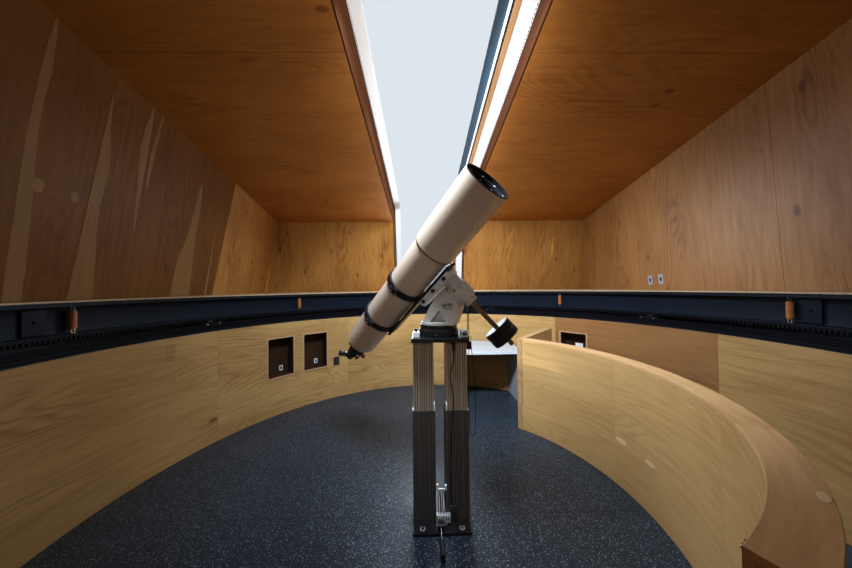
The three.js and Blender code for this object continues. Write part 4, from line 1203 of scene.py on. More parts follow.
def slit_walk(low, pitch, y_back=SLIT_BACK, z_low=SILL):
    """Frames along the slit's edge, a pitch apart: X goes along the edge and Z out of the room."""
    corner = Vector((0, *roof_meets_far(low)))
    ends = (
        (Vector((0, y_back, face_height("roof", y_back, low))), corner, FACES["roof"][0]),
        (corner, Vector((0, far_at(z_low, low), z_low)), FACES["far"][0]),
    )
    for a, b, out in ends:
        way = (b - a).normalized()
        turn = Matrix((way, out.cross(way), out)).transposed().to_4x4()
        for k in range(int((b - a).length / pitch)):
            yield Matrix.Translation(a + way * (k + 0.5) * pitch) @ turn


def slit_reveals():
    """Plywood cheeks and ends inside the slit, painted near black as painted shade, white strips on their
    edges, and dark brush teeth.
    """
    left, right = SLIT_LEFT + REVEAL, SLIT_RIGHT - REVEAL
    bm = new_mesh()
    slit_strip(bm, -LINING, 0.338, SLIT_LEFT, left)
    slit_strip(bm, -LINING, 0.158, right, SLIT_RIGHT)
    keep("slit_cheeks", bm, SHADED_CHEEK_PLY, "turret", smooth=0)
    bm = new_mesh()
    rise = FACES["roof"][0] * 0.176
    a = Vector((left, SLIT_BACK, face_height("roof", SLIT_BACK, -LINING)))
    b = Vector((right, SLIT_BACK, a.z))
    grain_map(bm, prism(bm, [a, b, b + rise, a + rise], ALONG * REVEAL), ACROSS, UP)
    y0, y1 = far_at(SILL, -LINING), far_at(SILL, 0.160)
    grain_map(bm, brick(bm, (left, y0, SILL), (right, y1, SILL + 0.012)), ACROSS, ALONG)
    keep("slit_ends", bm, SHADED_CHEEK_PLY, "turret", smooth=0)
    bm = new_mesh()
    left, right = SLIT_LEFT + 0.016, SLIT_RIGHT - 0.016
    slit_strip(bm, 0.338, 0.3495, SLIT_LEFT, left)
    slit_strip(bm, 0.158, 0.169, right, SLIT_RIGHT)
    keep("slit_edge_strips", bm, WHITE_PAINT, "turret", smooth=0)
    bm = new_mesh()
    for low, x in ((0.344, left), (0.1635, right)):
        for place in slit_walk(low, 0.026):
            shift = Matrix.Translation((x, 0, 0)) @ place
            brick(bm, (-0.0075, -0.002, -0.0045), (0.0075, 0.002, 0.0045), shift)
    keep("slit_brush_teeth", bm, SHADOW_BLACK, "turret", smooth=0)


def on_side_wall(name, y, z, lift=0.0):
    """A point on the left or right inner face, lifted into the room."""
    normal, distance = FACES[name]
    x = (distance - normal.y * y - normal.z * z) / normal.x
    return Vector((x, y, z)) - normal * lift


def switch_plates():
    """Two steel plates with a dark rocker, low on the right wall."""
    rows = [
        ((-0.035, -0.057, 0), (0.035, 0.057, 0.004), 0),
        ((-0.012, -0.024, 0.003), (0.012, 0.024, 0.006), 1),
        ((-0.005, -0.011, 0.005), (0.005, 0.011, 0.011), 1),
    ]
    for number, (y, z) in enumerate(((1.485, 4.416), (1.324, 4.424))):
        place = facing(inside_way("right"), on_side_wall("right", y, z, LINING), up_the_face("right"))
        finishes = (PLATE_STEEL, DARK_PLASTIC)
        boxed(f"switch_plate_{number + 1}", rows, finishes, "turret", place, bevel=0.001)


def left_wall_veneer(name, outline, finish):
    """A thin shape in the face veneer of the left wall, from a closed line of (y, z) points."""
    bm = new_mesh()
    corners = [on_side_wall("left", y, z, LINING + 0.0001) for y, z in outline]
    grain_map(bm, prism(bm, corners, inside_way("left") * 0.0003), up_the_face("left"), ALONG)
    keep(name, bm, finish, "turret", smooth=0)


def patches():
    """Oval veneer patches let into the left wall's sheets."""
    for number, (y, z, size) in enumerate(((-0.213, 5.002, 0.042), (-0.026, 4.993, 0.036))):
        outline = [(y + across, z + up) for across, up in oval(0.62 * size, size, 28)]
        left_wall_veneer(f"wall_patch_{number + 1}", outline, SAPWOOD)


def tongues():
    """Pale sapwood in the left wall's sheets, with a slightly ragged edge."""
    for number, rows in enumerate(SAPWOOD_SHAPES):
        sides = []
        for side in (1, 2):
            line = smooth_route([(0, row[side], row[0]) for row in rows], 6)
            edge = []
            for i, point in enumerate(line):
                ragged = seeded.uniform(-0.002, 0.002) * (0 < i < len(line) - 1)
                edge.append((point.y + ragged, point.z))
            sides.append(edge)
        left_wall_veneer(f"sapwood_{number + 1}", sides[0] + sides[1][::-1], SAPWOOD)


def turret_cladding():
    """Standing seams on the turret's outside, and the round drip skirt under it."""
    bm = new_mesh()
    for face in ("left", "right", "near", "far"):
        way, up = FACES[face][0], up_the_face(face)
        seams_on(bm, f"turret_wall_{face}", way, up, SEAM_PITCH, SEAM_HIGH, DECK_TOP + SEAM_START)
    roof_out = FACES["roof"][0]
    down = (ALONG - roof_out * ALONG.dot(roof_out)).normalized()
    for side in ("left", "right"):
        seams_on(bm, f"turret_roof_{side}", roof_out, down, SEAM_PITCH, SEAM_HIGH)
    keep("turret_seams", bm, CLADDING, "turret", smooth=0, bevel=0.0012)
    bm = new_mesh()
    foot = WALL_TOP - 0.055
    curved_panel(bm, SKIRT_IN, SKIRT_OUT, (-180, 180), (foot, DECK_LOW - 0.0004))
    curved_panel(bm, SKIRT_HEM_IN, SKIRT_HEM_OUT, (-180, 180), (foot - 0.007, foot))
    keep("drip_skirt", bm, CLAD_TRIM, "turret")


def deck_ring():
    """A flat steel strip that covers most of the deck's inner edge."""
    profile = section(2.4585, 2.4597, DECK_LOW + 0.0003, DECK_LOW + 0.017)
    turned("deck_edge_strip", profile, None, 240, RING_PAINT, "turret", 40)


def deck_trim():
    """A folded metal edge round the plywood deck that carries the turret's walls."""
    bm = new_mesh()
    for name in ("turret_base_left", "turret_base_right"):
        half = outline_of(name, UP)
        for edge in half.edges:
            a, b = (v.co.copy() for v in edge.verts)
            middle = (a + b) / 2
            if not edge.is_boundary or middle.xy.length < WALL_R or abs(middle.x) < 0.002:
                continue
            out = (b - a).cross(UP).normalized()
            if out.dot(middle) < 0:
                out = -out
            corners = [a - out * 0.0005, b - out * 0.0005, b - out * 0.004, a - out * 0.004]
            prism(bm, [Vector((p.x, p.y, DECK_LOW - 0.006)) for p in corners], UP * 0.006)
        half.free()
    keep("deck_drip", bm, CLAD_TRIM, "turret", smooth=0)


# Shutter

SHUTTER_X = 0.465
SHUTTER_LOW, SHUTTER_EDGE = 0.180, 0.470
SHUTTER_BACK = SLIT_BACK - 0.10
SHUTTER_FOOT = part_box("shutter")[0].z + 0.002


def shutter_strip(bm, low, high, x0, x1, y_back=SHUTTER_BACK):
    slit_strip(bm, low, high, x0, x1, y_back, SHUTTER_FOOT)


def shutter_trim():
    """What shows of the shutter from below: white soffit, wood strip, toothed seal, and a metal face painted
    dark as painted shade, with a white strip along its top edge as a painted highlight.
    """
    seal, wood, soffit = SHUTTER_X + 0.017, SHUTTER_X + 0.032, SHUTTER_X + 0.076
    bm = new_mesh()
    shutter_strip(bm, SHUTTER_LOW - 0.004, SHUTTER_LOW, soffit, 1.70)
    keep("shutter_soffit", bm, WHITE_PAINT, "shutter", smooth=0)
    bm = new_mesh()
    shutter_strip(bm, SHUTTER_LOW - 0.009, SHUTTER_LOW, wood, soffit)
    keep("shutter_wood_strip", bm, STRIP_WOOD, "shutter", smooth=0)
    bm = new_mesh()
    shutter_strip(bm, SHUTTER_LOW - 0.004, SHUTTER_LOW, seal, wood)
    for place in slit_walk(SHUTTER_LOW - 0.006, 0.030, SHUTTER_BACK, SHUTTER_FOOT):
        shift = Matrix.Translation(((seal + wood) / 2, 0, 0)) @ place
        brick(bm, (-0.008, -0.0065, -0.004), (0.008, 0.0065, 0.004), shift, 1)
    keep("shutter_seal", bm, (DARK_PLASTIC, SHADOW_BLACK), "shutter", smooth=0)
    bm = new_mesh()
    shutter_strip(bm, SHUTTER_LOW - 0.005, SHUTTER_LOW, SHUTTER_X, seal)
    # The white strip along the face's top edge is a painted highlight on that edge.
    shutter_strip(bm, SHUTTER_EDGE - 0.014, SHUTTER_EDGE, SHUTTER_X - 0.004, SHUTTER_X)
    keep("shutter_hem_and_painted_highlight", bm, WHITE_PAINT, "shutter", smooth=0)
    bm = new_mesh()
    shutter_strip(bm, SHUTTER_LOW, SHUTTER_EDGE - 0.014, SHUTTER_X - 0.003, SHUTTER_X)
    keep("shutter_face", bm, SHADED_FASCIA_METAL, "shutter", smooth=0)
    bm = new_mesh()
    for k in range(1, 4):
        x = SHUTTER_X + 0.06 + 0.30 * k
        shutter_strip(bm, SHUTTER_LOW + 0.0902, SHUTTER_LOW + 0.104, x, x + 0.008, SHUTTER_BACK + 0.01)
    keep("shutter_seams", bm, CLADDING, "shutter", smooth=0)


# Pier

COLUMN_AT = 0.109
PIER_FOOT, STEP = (corner.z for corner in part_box("pier_lower_column_left"))
UPPER_LOW, UPPER_TOP = (corner.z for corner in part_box("pier_upper_column_left"))
PLATE_LOW, PLATE_TOP = (corner.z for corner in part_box("pier_top_plate"))
BASE_LOW, BASE_TOP = (corner.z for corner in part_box("pier_base_plate"))
LOWER_HALF = Vector((0.0745, 0.107))
UPPER_HALF = Vector((0.0675, 0.100))
GROOVE_WIDE, GROOVE_DEEP = 0.0055, 0.0045
PAD_LOW, PAD_HALF = STEP - 0.010, Vector((0.0740, 0.1065))
FOOT_HALF, HEAD_HALF = Vector((0.185, 0.185)), Vector((0.185, 0.165))


def both_ways(places):
    return [side * place for side in (-1, 1) for place in places]


def grooved(half, front, side):
    """A rectangle with shallow grooves down its faces, as (x, y) points. Front and side are their places."""
    x, y = half
    faces = (((x, -y), (0, 1), y, side), ((x, y), (-1, 0), x, front))
    points = []
    for sign in (1, -1):
        for (ax, ay), (dx, dy), reach, places in faces:
            ax, ay, dx, dy = sign * ax, sign * ay, sign * dx, sign * dy
            points.append((ax, ay))
            for place in sorted(places):
                for along, inwards in ((-1, 0), (-0.6, GROOVE_DEEP), (0.6, GROOVE_DEEP), (1, 0)):
                    t = reach + place + along * GROOVE_WIDE / 2
                    points.append((ax + dx * t - dy * inwards, ay + dy * t + dx * inwards))
    return points


def column(node, finishes, x, half, heights, body, front, side):
    """A column with its grooves painted dark as painted shade, in the place of its CAD node."""
    low, high = heights
    bm = new_mesh()
    outline = [Vector((x + px, py, low)) for px, py in grooved(half, front, side)]
    for face in prism(bm, outline, UP * (high - low))[2:]:
        middle = face.calc_center_median()
        inside = min(half.x - abs(middle.x - x), half.y - abs(middle.y))
        face.material_index = int(inside > 0.003)
    keep(f"{node}_profile", bm, finishes, body, smooth=0, bevel=0.0014, solid=("column_bronze", node))


def pier_columns():
    """Both pairs of grooved columns, with the pads between them and white strips on them as painted
    highlights.
    """
    lower_front, lower_side = both_ways((0.060, 0.045, 0.022, 0.007)), both_ways((0.085, 0.045, 0.015))
    upper_front, upper_side = both_ways((0.054, 0.040, 0.020, 0.006)), both_ways((0.080, 0.042, 0.014))
    for side, name in ((-1, "left"), (1, "right")):
        x = side * COLUMN_AT
        finishes, heights = (LOWER_COLUMN_METAL, PAINTED_SHADE_LOWER_GROOVES), (PIER_FOOT, STEP - 0.004)
        node = f"pier_lower_column_{name}"
        column(node, finishes, x, LOWER_HALF, heights, "building", lower_front, lower_side)
        finishes, heights = (COLUMN_METAL, PAINTED_SHADE_GROOVES), (UPPER_LOW, UPPER_TOP)
        node = f"pier_upper_column_{name}"
        column(node, finishes, x, UPPER_HALF, heights, "pier_head", upper_front, upper_side)
        bm = new_mesh()
        for sx in (-1, 1):
            near, far = sorted((x + sx * (UPPER_HALF.x + 0.0005), x + sx * PAD_HALF.x))
            brick(bm, (near, -PAD_HALF.y, PAD_LOW), (far, PAD_HALF.y, STEP), index=1)
        for sy in (-1, 1):
            near, far = sorted((sy * (UPPER_HALF.y + 0.0005), sy * PAD_HALF.y))
            brick(bm, (x - UPPER_HALF.x, near, PAD_LOW), (x + UPPER_HALF.x, far, STEP), index=1)
        # The white slanted strips stand for the glints on the lower columns' top corners, as painted
        # highlights.
        for sx, tall in ((-side, 0.046), (side, 0.012)):
            x0, x1 = x + sx * 0.0705 - 0.004, x + sx * 0.0705 + 0.004
            y0, y1 = -PAD_HALF.y, -0.060
            outline = [Vector((px, py, STEP)) for px, py in ((x0, y0), (x1, y0), (x1, y1), (x0, y1))]
            prism(bm, outline, Vector((-sx * 0.002, 0, tall)))
        keep(f"glide_pads_and_painted_glints_{name}", bm, (WHITE_PLASTIC, DARK_PLASTIC), "building", bevel=0.001)


def pier_plates():
    """The foot plate and the top plate, with their bolts."""
    rows = [((*-FOOT_HALF, BASE_LOW), (*FOOT_HALF, BASE_TOP))]
    boxed(
        "pier_foot_plate", rows, BLACK_PAINT, "building", bevel=0.003,
        solid=("black_metal", "pier_base_plate"),
    )
    bm = new_mesh()
    for x in (-0.125, 0.125):
        for y in (-0.152, 0.152):
            lathe(bm, section(0, 0.017, 0, 0.003), Matrix.Translation((x, y, BASE_TOP)), 24)
            bolt(bm, (x, y, BASE_TOP + 0.003), UP, 0.012, 1)
            bar(bm, (x, y, BASE_TOP + 0.008), (x, y, BASE_TOP + 0.020), 0.006, 16, 1, 0.001)
    keep("foot_plate_bolts", bm, (PLATE_STEEL, BRIGHT_STEEL), "building", bevel=0.0008)
    rows = [((*-HEAD_HALF, PLATE_LOW), (*HEAD_HALF, PLATE_TOP))]
    boxed(
        "pier_head_plate", rows, BLACK_PAINT, "pier_head", bevel=0.003,
        solid=("black_metal", "pier_top_plate"),
    )
    bm = new_mesh()
    for x in (-0.168, 0.168):
        for y in (-0.146, 0.146):
            bolt(bm, (x, y, PLATE_TOP), UP, 0.010)
            bolt(bm, (x * 0.9, y, PLATE_LOW), -UP, 0.009)
    keep("head_plate_bolts", bm, BRIGHT_STEEL, "pier_head", bevel=0.0006)


def pier_lever():
    """The foot lever: a block at the pier's foot, a rod and a grip."""
    low, x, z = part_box("pier_lever")[0].z, -0.010, FLOOR + 0.044
    bm = new_mesh()
    brick(bm, (-0.030, -0.178, low), (0.010, -0.128, z + 0.014))
    bolt(bm, (x, -0.140, z + 0.014), UP, 0.008, 1)
    keep(
        "pier_lever_block", bm, (BLACK_PAINT, BRIGHT_STEEL), "building", bevel=0.003,
        solid=("black_metal", "pier_lever"),
    )
    bm = new_mesh()
    bar(bm, (x, -0.176, z), (x, -0.270, z), 0.008, 20)
    keep("pier_lever_rod", bm, BRIGHT_STEEL, "building", solid=("black_metal", "pier_lever"))
    grip = [(0, 0), (0.0105, 0), (0.0130, 0.004), (0.0150, 0.030), (0.0145, 0.065)]
    grip += [(0.0150, 0.085), (0.0125, 0.094), (0, 0.095)]
    place = facing(-ALONG, (x, -0.262, z))
    turned(
        "pier_lever_grip", grip, place, 28, BLACK_PLASTIC, "building", 30,
        solid=("black_metal", "pier_lever"),
    )


def pier_fittings():
    """A white double outlet between the columns, a clip over it, and small blocks on the top plate."""
    rows = [
        ((-0.034, -0.136, BASE_TOP + 0.018), (0.056, -0.1085, BASE_TOP + 0.064), 0),
        ((-0.012, -0.132, BASE_TOP), (0.032, -0.112, BASE_TOP + 0.014), 1),
    ]
    low, high = BASE_TOP + 0.036, BASE_TOP + 0.054
    for x in (-0.011, 0.033):
        rows.append(((x - 0.015, -0.1378, BASE_TOP + 0.024), (x + 0.015, -0.1355, BASE_TOP + 0.058), 1))
        for pin in (x - 0.006, x + 0.006):
            rows.append(((pin - 0.0030, -0.1384, low), (pin + 0.0030, -0.1376, high), 2))
    finishes = (PLATE_STEEL, PALE_PLASTIC, SHADOW_BLACK)
    boxed("pier_outlet", rows, finishes, "building", bevel=0.0012)
    rows = [
        ((-0.0336, -0.106, FLOOR + 0.222), (0.0336, -0.098, FLOOR + 0.232)),
        ((-0.0336, -0.106, FLOOR + 0.232), (-0.020, -0.092, FLOOR + 0.258)),
        ((0.020, -0.106, FLOOR + 0.232), (0.0336, -0.092, FLOOR + 0.252)),
    ]
    boxed("pier_clip", rows, WHITE_PLASTIC, "building", bevel=0.001)
    low = PLATE_TOP + 0.0003
    x, y = -0.152, -0.098
    bm = new_mesh()
    brick(bm, (-0.173, -0.118, low), (-0.131, -0.078, low + 0.034))
    bar(bm, (x, y, low + 0.034), (x, y, low + 0.040), 0.006, 16, 1)
    bar(bm, (x, y, low + 0.040), (x, y, low + 0.054), 0.011, 20, 1, 0.002)
    keep("plate_block_left", bm, (WHITE_PLASTIC, BLACK_PLASTIC), "pier_head", bevel=0.002)
    rows = [
        ((0.139, -0.125, low), (0.183, -0.060, low + 0.040), 0),
        ((0.146, -0.128, low + 0.010), (0.176, -0.124, low + 0.030), 1),
    ]
    boxed("plate_block_right", rows, (PALE_PLASTIC, DARK_PLASTIC), "pier_head", bevel=0.002)


# Mount and telescope

MEET = Vector((0.149, -0.059, FLOOR + 1.513))
LATITUDE, POLE_WAY = math.radians(43), math.radians(-20.3)
POLE_LEVEL = Vector((math.cos(POLE_WAY), math.sin(POLE_WAY), 0))
POLAR = POLE_LEVEL * math.cos(LATITUDE) + UP * math.sin(LATITUDE)
TUBE_WAY = Vector((0.53, -0.591, 0.608)).normalized()
DEC_WAY = POLAR.cross(TUBE_WAY).normalized()
TUBE_AT = MEET - DEC_WAY * 0.322
ON_POLAR = facing(POLAR, MEET, DEC_WAY)
ON_DEC = facing(DEC_WAY, MEET, TUBE_WAY)
ON_TUBE = facing(TUBE_WAY, TUBE_AT, DEC_WAY)
TUBE_R, TUBE_BACK, SHIELD_START, SHIELD_END, SHIELD_R = 0.138, -1.130, 0.091, 0.623, 0.1485
TUBE_IN, SHIELD_IN = TUBE_R - 0.004, SHIELD_R - 0.0035
BAND_R, BANDS_AT, BAND_HALF = 0.152, (-0.721, -0.302), 0.025
PLATE_BACK, PLATE_LONG = -0.765, 0.849
SADDLE_BACK, SADDLE_LONG, SADDLE_KNOBS_AT = -0.291, 0.342, (-0.245, -0.120, 0.010)
LENS_SCREWS, BASE_SCREWS = 9, 6
LENS_FRONT, LENS_R = SHIELD_END - 0.028, 0.1268
FOCUSER_BACK = -1.400


def mount_pieces():
    """The turned azimuth base, the two axis housings, and the counterweight on its bar."""
    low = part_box("mount_base")[0].z
    profile = [(0, 0), (0.132, 0), (0.135, 0.003), (0.135, 0.036), (0.132, 0.040), (0.128, 0.040)]
    profile += [(0.128, 0.046), (0.124, 0.050), (0.124, 0.060), (0.128, 0.064), (0.128, 0.072)]
    profile += [(0.126, 0.074), (0, 0.074)]
    place = Matrix.Translation((0, 0, low))
    turned(
        "mount_azimuth_base", profile, place, 96, BLACK_PAINT, "pier_head",
        solid=("black_metal", "mount_base"),
    )
    bm = new_mesh()
    for k in range(BASE_SCREWS):
        bolt(bm, (0.1345, 0, low + 0.020), ACROSS, 0.009, place=radial(20 + 360 / BASE_SCREWS * k))
    keep("mount_base_screws", bm, BRIGHT_STEEL, "pier_head", bevel=0.0006)
    profile = [(0, -0.0617), (0.078, -0.0617), (0.0785, -0.060), (0.0785, -0.046), (0.077, -0.044)]
    profile += [(0.062, -0.044), (0.062, -0.004), (0.0605, -0.002), (0.0605, 0.002), (0.062, 0.004)]
    profile += [(0.062, 0.056), (0.058, 0.062), (0.040, 0.066), (0, 0.066)]
    turned("polar_hub", profile, ON_POLAR, 72, CAST_PAINT, "polar", solid=("cast_grey", "polar_head"))
    profile = [(0, -0.1007), (0.054, -0.1007), (0.057, -0.098), (0.057, -0.080), (0.0545, -0.078)]
    profile += [(0.0545, -0.072), (0.057, -0.070), (0.057, 0.070), (0.054, 0.078), (0.046, 0.082)]
    profile += [(0.046, 0.104), (0.042, 0.110), (0, 0.110)]
    turned(
        "declination_housing", profile, ON_DEC, 72, CAST_PAINT, "polar", solid=("cast_grey", "polar_head")
    )
    profile = [(0, 0.1105), (0.016, 0.1105), (0.016, 0.476), (0.0125, 0.480), (0, 0.480)]
    turned(
        "counterweight_bar", profile, ON_DEC, 32, CHROME, "polar", 30,
        solid=("cast_grey", "counterweight_shaft"),
    )
    profile = [(0.0165, 0.330), (0.090, 0.330), (0.095, 0.335), (0.095, 0.374), (0.0925, 0.3765)]
    profile += [(0.0925, 0.3835), (0.095, 0.386), (0.095, 0.425), (0.090, 0.430), (0.0165, 0.430)]
    turned(
        "counterweight_disc", profile, ON_DEC, 72, BLACK_PAINT, "polar",
        solid=("black_metal", "counterweight"),
    )
    bm = new_mesh()
    x, foot = 0.062, 0.4295
    bar(bm, (x, 0, foot), (x, 0, foot + 0.010), 0.006, 16, place=ON_DEC)
    bar(bm, (x, 0, foot + 0.010), (x, 0, foot + 0.022), 0.014, 20, 0, 0.002, ON_DEC)
    keep("counterweight_knob", bm, BLACK_PLASTIC, "polar")


def mount_controls():
    """Clamp screws round the polar hub."""
    bm = new_mesh()
    across = POLAR.cross(DEC_WAY)
    for turn in (35, 155, 275):
        way = (Matrix.Rotation(math.radians(turn), 3, POLAR) @ across).normalized()
        bolt(bm, MEET + way * 0.0615 + POLAR * -0.024, way, 0.007)
    for turn in range(0, 360, 60):
        way = (Matrix.Rotation(math.radians(turn), 3, POLAR) @ across).normalized()
        bolt(bm, MEET + way * 0.070 + POLAR * -0.0445, POLAR, 0.0055)
    keep("polar_head_screws", bm, BRIGHT_STEEL, "polar", bevel=0.0004)


def telescope_tube():
    """The cream tube and dew shield with their black insides, the lens in its cell, and the baffles."""
    end = SHIELD_START - 0.0003
    profile = [(TUBE_IN, TUBE_BACK), (TUBE_R - 0.0015, TUBE_BACK), (TUBE_R, TUBE_BACK + 0.0015)]
    profile += [(TUBE_R, end), (TUBE_IN, end)]
    turned("tube_skin", profile, ON_TUBE, 96, CREAM_ENAMEL, "telescope", solid=("tube_cream", "tube"))
    bm = new_mesh()
    inside = TUBE_BACK + 0.010
    lathe(bm, section(0.060, 0.1338, TUBE_BACK, inside), ON_TUBE, 96)
    lathe(bm, section(0.131, 0.1336, inside, 0.100), ON_TUBE, 72)
    keep("tube_inside", bm, BAFFLE_BLACK, "telescope", smooth=35)
    start, step, end = SHIELD_START + 0.0003, SHIELD_START + 0.012, SHIELD_END - 0.0062
    profile = [(TUBE_IN, start), (SHIELD_R - 0.001, start), (SHIELD_R, SHIELD_START + 0.0015)]
    profile += [(SHIELD_R, end), (SHIELD_IN, end), (SHIELD_IN, step), (TUBE_IN, step)]
    turned(
        "dew_shield_skin", profile, ON_TUBE, 96, CREAM_ENAMEL, "telescope",
        solid=("tube_cream", "dew_shield"),
    )
    start = SHIELD_END - 0.006
    profile = [(SHIELD_IN, start), (SHIELD_R, start), (SHIELD_R, SHIELD_END - 0.0015)]
    profile += [(SHIELD_R - 0.001, SHIELD_END), (SHIELD_IN, SHIELD_END)]
    turned("dew_shield_rim", profile, ON_TUBE, 96, BLACK_PAINT, "telescope")
    bm = new_mesh()
    lathe(bm, section(TUBE_R, SHIELD_R - 0.002, SHIELD_START - 0.007, SHIELD_START), ON_TUBE, 96)
    lining = SHIELD_IN - 0.0006
    lathe(bm, section(lining, SHIELD_IN, SHIELD_START + 0.013, SHIELD_END - 0.003), ON_TUBE, 96)
    keep("dew_shield_lining", bm, BAFFLE_BLACK, "telescope", smooth=35)
    profile = [(0.126, LENS_FRONT - 0.024), (lining, LENS_FRONT - 0.024), (lining, LENS_FRONT)]
    profile += [(0.130, LENS_FRONT), (0.127, LENS_FRONT - 0.004)]
    turned("lens_cell", profile, ON_TUBE, 96, LENS_RIM, "telescope", solid=("black_metal", "objective_lens"))
    bm = new_mesh()
    screw = [(0, 0), (0.0052, 0), (0.0052, 0.0015), (0.0040, 0.0030), (0, 0.0034)]
    for k in range(LENS_SCREWS):
        around = ON_TUBE @ Matrix.Rotation(math.radians(360 / LENS_SCREWS * k + 12), 4, "Z")
        at = around @ Vector(((0.130 + SHIELD_IN) / 2, 0, LENS_FRONT))
        lathe(bm, screw, facing(around.to_3x3() @ UP, at), 12)
    # The screw heads take the white plastic finish as painted glints.
    keep("lens_cell_screws", bm, WHITE_PLASTIC, "telescope", smooth=35)
    crown, back = LENS_FRONT - 0.004, LENS_FRONT - 0.018
    profile = [(0, crown)]
    profile += [(0.0001 + LENS_R * k / 10, crown - 0.008 * (k / 10) ** 2) for k in range(1, 11)]
    profile += [(LENS_R, back), (0, back)]
    turned(
        "front_lens", profile, ON_TUBE, 96, LENS_GLASS, "telescope", 40,
        solid=("black_metal", "objective_lens"),
    )
    bm = new_mesh()
    for behind, opening in ((0.055, 0.118), (0.20, 0.105), (0.42, 0)):
        z = LENS_FRONT - behind
        lathe(bm, section(opening, 0.1310, z, z + 0.001), ON_TUBE, 72)
    keep("tube_baffles", bm, BAFFLE_BLACK, "telescope")


def tube_holders():
    """Two split rings with hinge knuckles and clamp screws, a long plate, and the saddle that grips it."""
    bm = new_mesh()
    for at in BANDS_AT:
        lo, hi = at - BAND_HALF, at + BAND_HALF
        profile = [(TUBE_R + 0.0004, lo), (BAND_R - 0.002, lo), (BAND_R, lo + 0.002)]
        profile += [(BAND_R, hi - 0.002), (BAND_R - 0.002, hi), (TUBE_R + 0.0004, hi)]
        lathe(bm, profile, ON_TUBE, 72)
    keep("tube_bands", bm, BLACK_PAINT, "telescope", smooth=35, solid=("black_metal", "tube_rings"))
    bm = new_mesh()
    outline = [(-0.060, 0.152), (0.060, 0.152), (0.060, 0.160)]
    outline += [(0.049, 0.170), (-0.049, 0.170), (-0.060, 0.160)]
    prism(bm, [ON_TUBE @ Vector((x, y, PLATE_BACK)) for x, y in outline], TUBE_WAY * PLATE_LONG)
    for at in BANDS_AT:
        brick(bm, (-0.055, 0.140, at - 0.024), (0.055, 0.153, at + 0.024), ON_TUBE)
    keep(
        "tube_plate", bm, BLACK_PAINT, "telescope", smooth=0, bevel=0.001,
        solid=("black_metal", "tube_rings"),
    )
    bm = new_mesh()
    for at in BANDS_AT:
        for side in (-1, 1):
            x0, x1 = sorted((side * 0.148, side * 0.170))
            for y in (-0.014, 0.003):
                brick(bm, (x0, y, at - 0.022), (x1, y + 0.014, at + 0.022), ON_TUBE)
            x, y = side * 0.160, -0.026 if side > 0 else -0.018
            bar(bm, (x, y, at), (x, 0.030, at), 0.005, 16, 1, place=ON_TUBE)
            if side > 0:
                bar(bm, (x, -0.046, at), (x, y, at), 0.013, 24, 0, 0.002, ON_TUBE)
    keep("band_clamps", bm, (BLACK_PAINT, BRIGHT_STEEL), "telescope", bevel=0.0015)
    bm = new_mesh()
    outline = [(-0.055, 0.1705), (-0.030, 0.1705), (-0.030, 0.176), (0.030, 0.176), (0.030, 0.1705)]
    outline += [(0.055, 0.1705), (0.055, 0.210), (0.044, 0.2207), (-0.044, 0.2207), (-0.055, 0.210)]
    prism(bm, [ON_TUBE @ Vector((x, y, SADDLE_BACK)) for x, y in outline], TUBE_WAY * SADDLE_LONG)
    keep("saddle_block", bm, WHITE_PAINT, "telescope", smooth=0, bevel=0.003, solid=("white_trim", "saddle"))
    bm = new_mesh()
    for at in SADDLE_KNOBS_AT:
        for side in (-1, 1):
            x0, x1, x2 = side * 0.055, side * 0.061, side * 0.077
            bar(bm, (x0, 0.192, at), (x1, 0.192, at), 0.006, 16, 1, place=ON_TUBE)
            bar(bm, (x1, 0.192, at), (x2, 0.192, at), 0.013, 24, 0, 0.002, ON_TUBE)
    keep("saddle_knobs", bm, (BLACK_PLASTIC, BRIGHT_STEEL), "telescope")


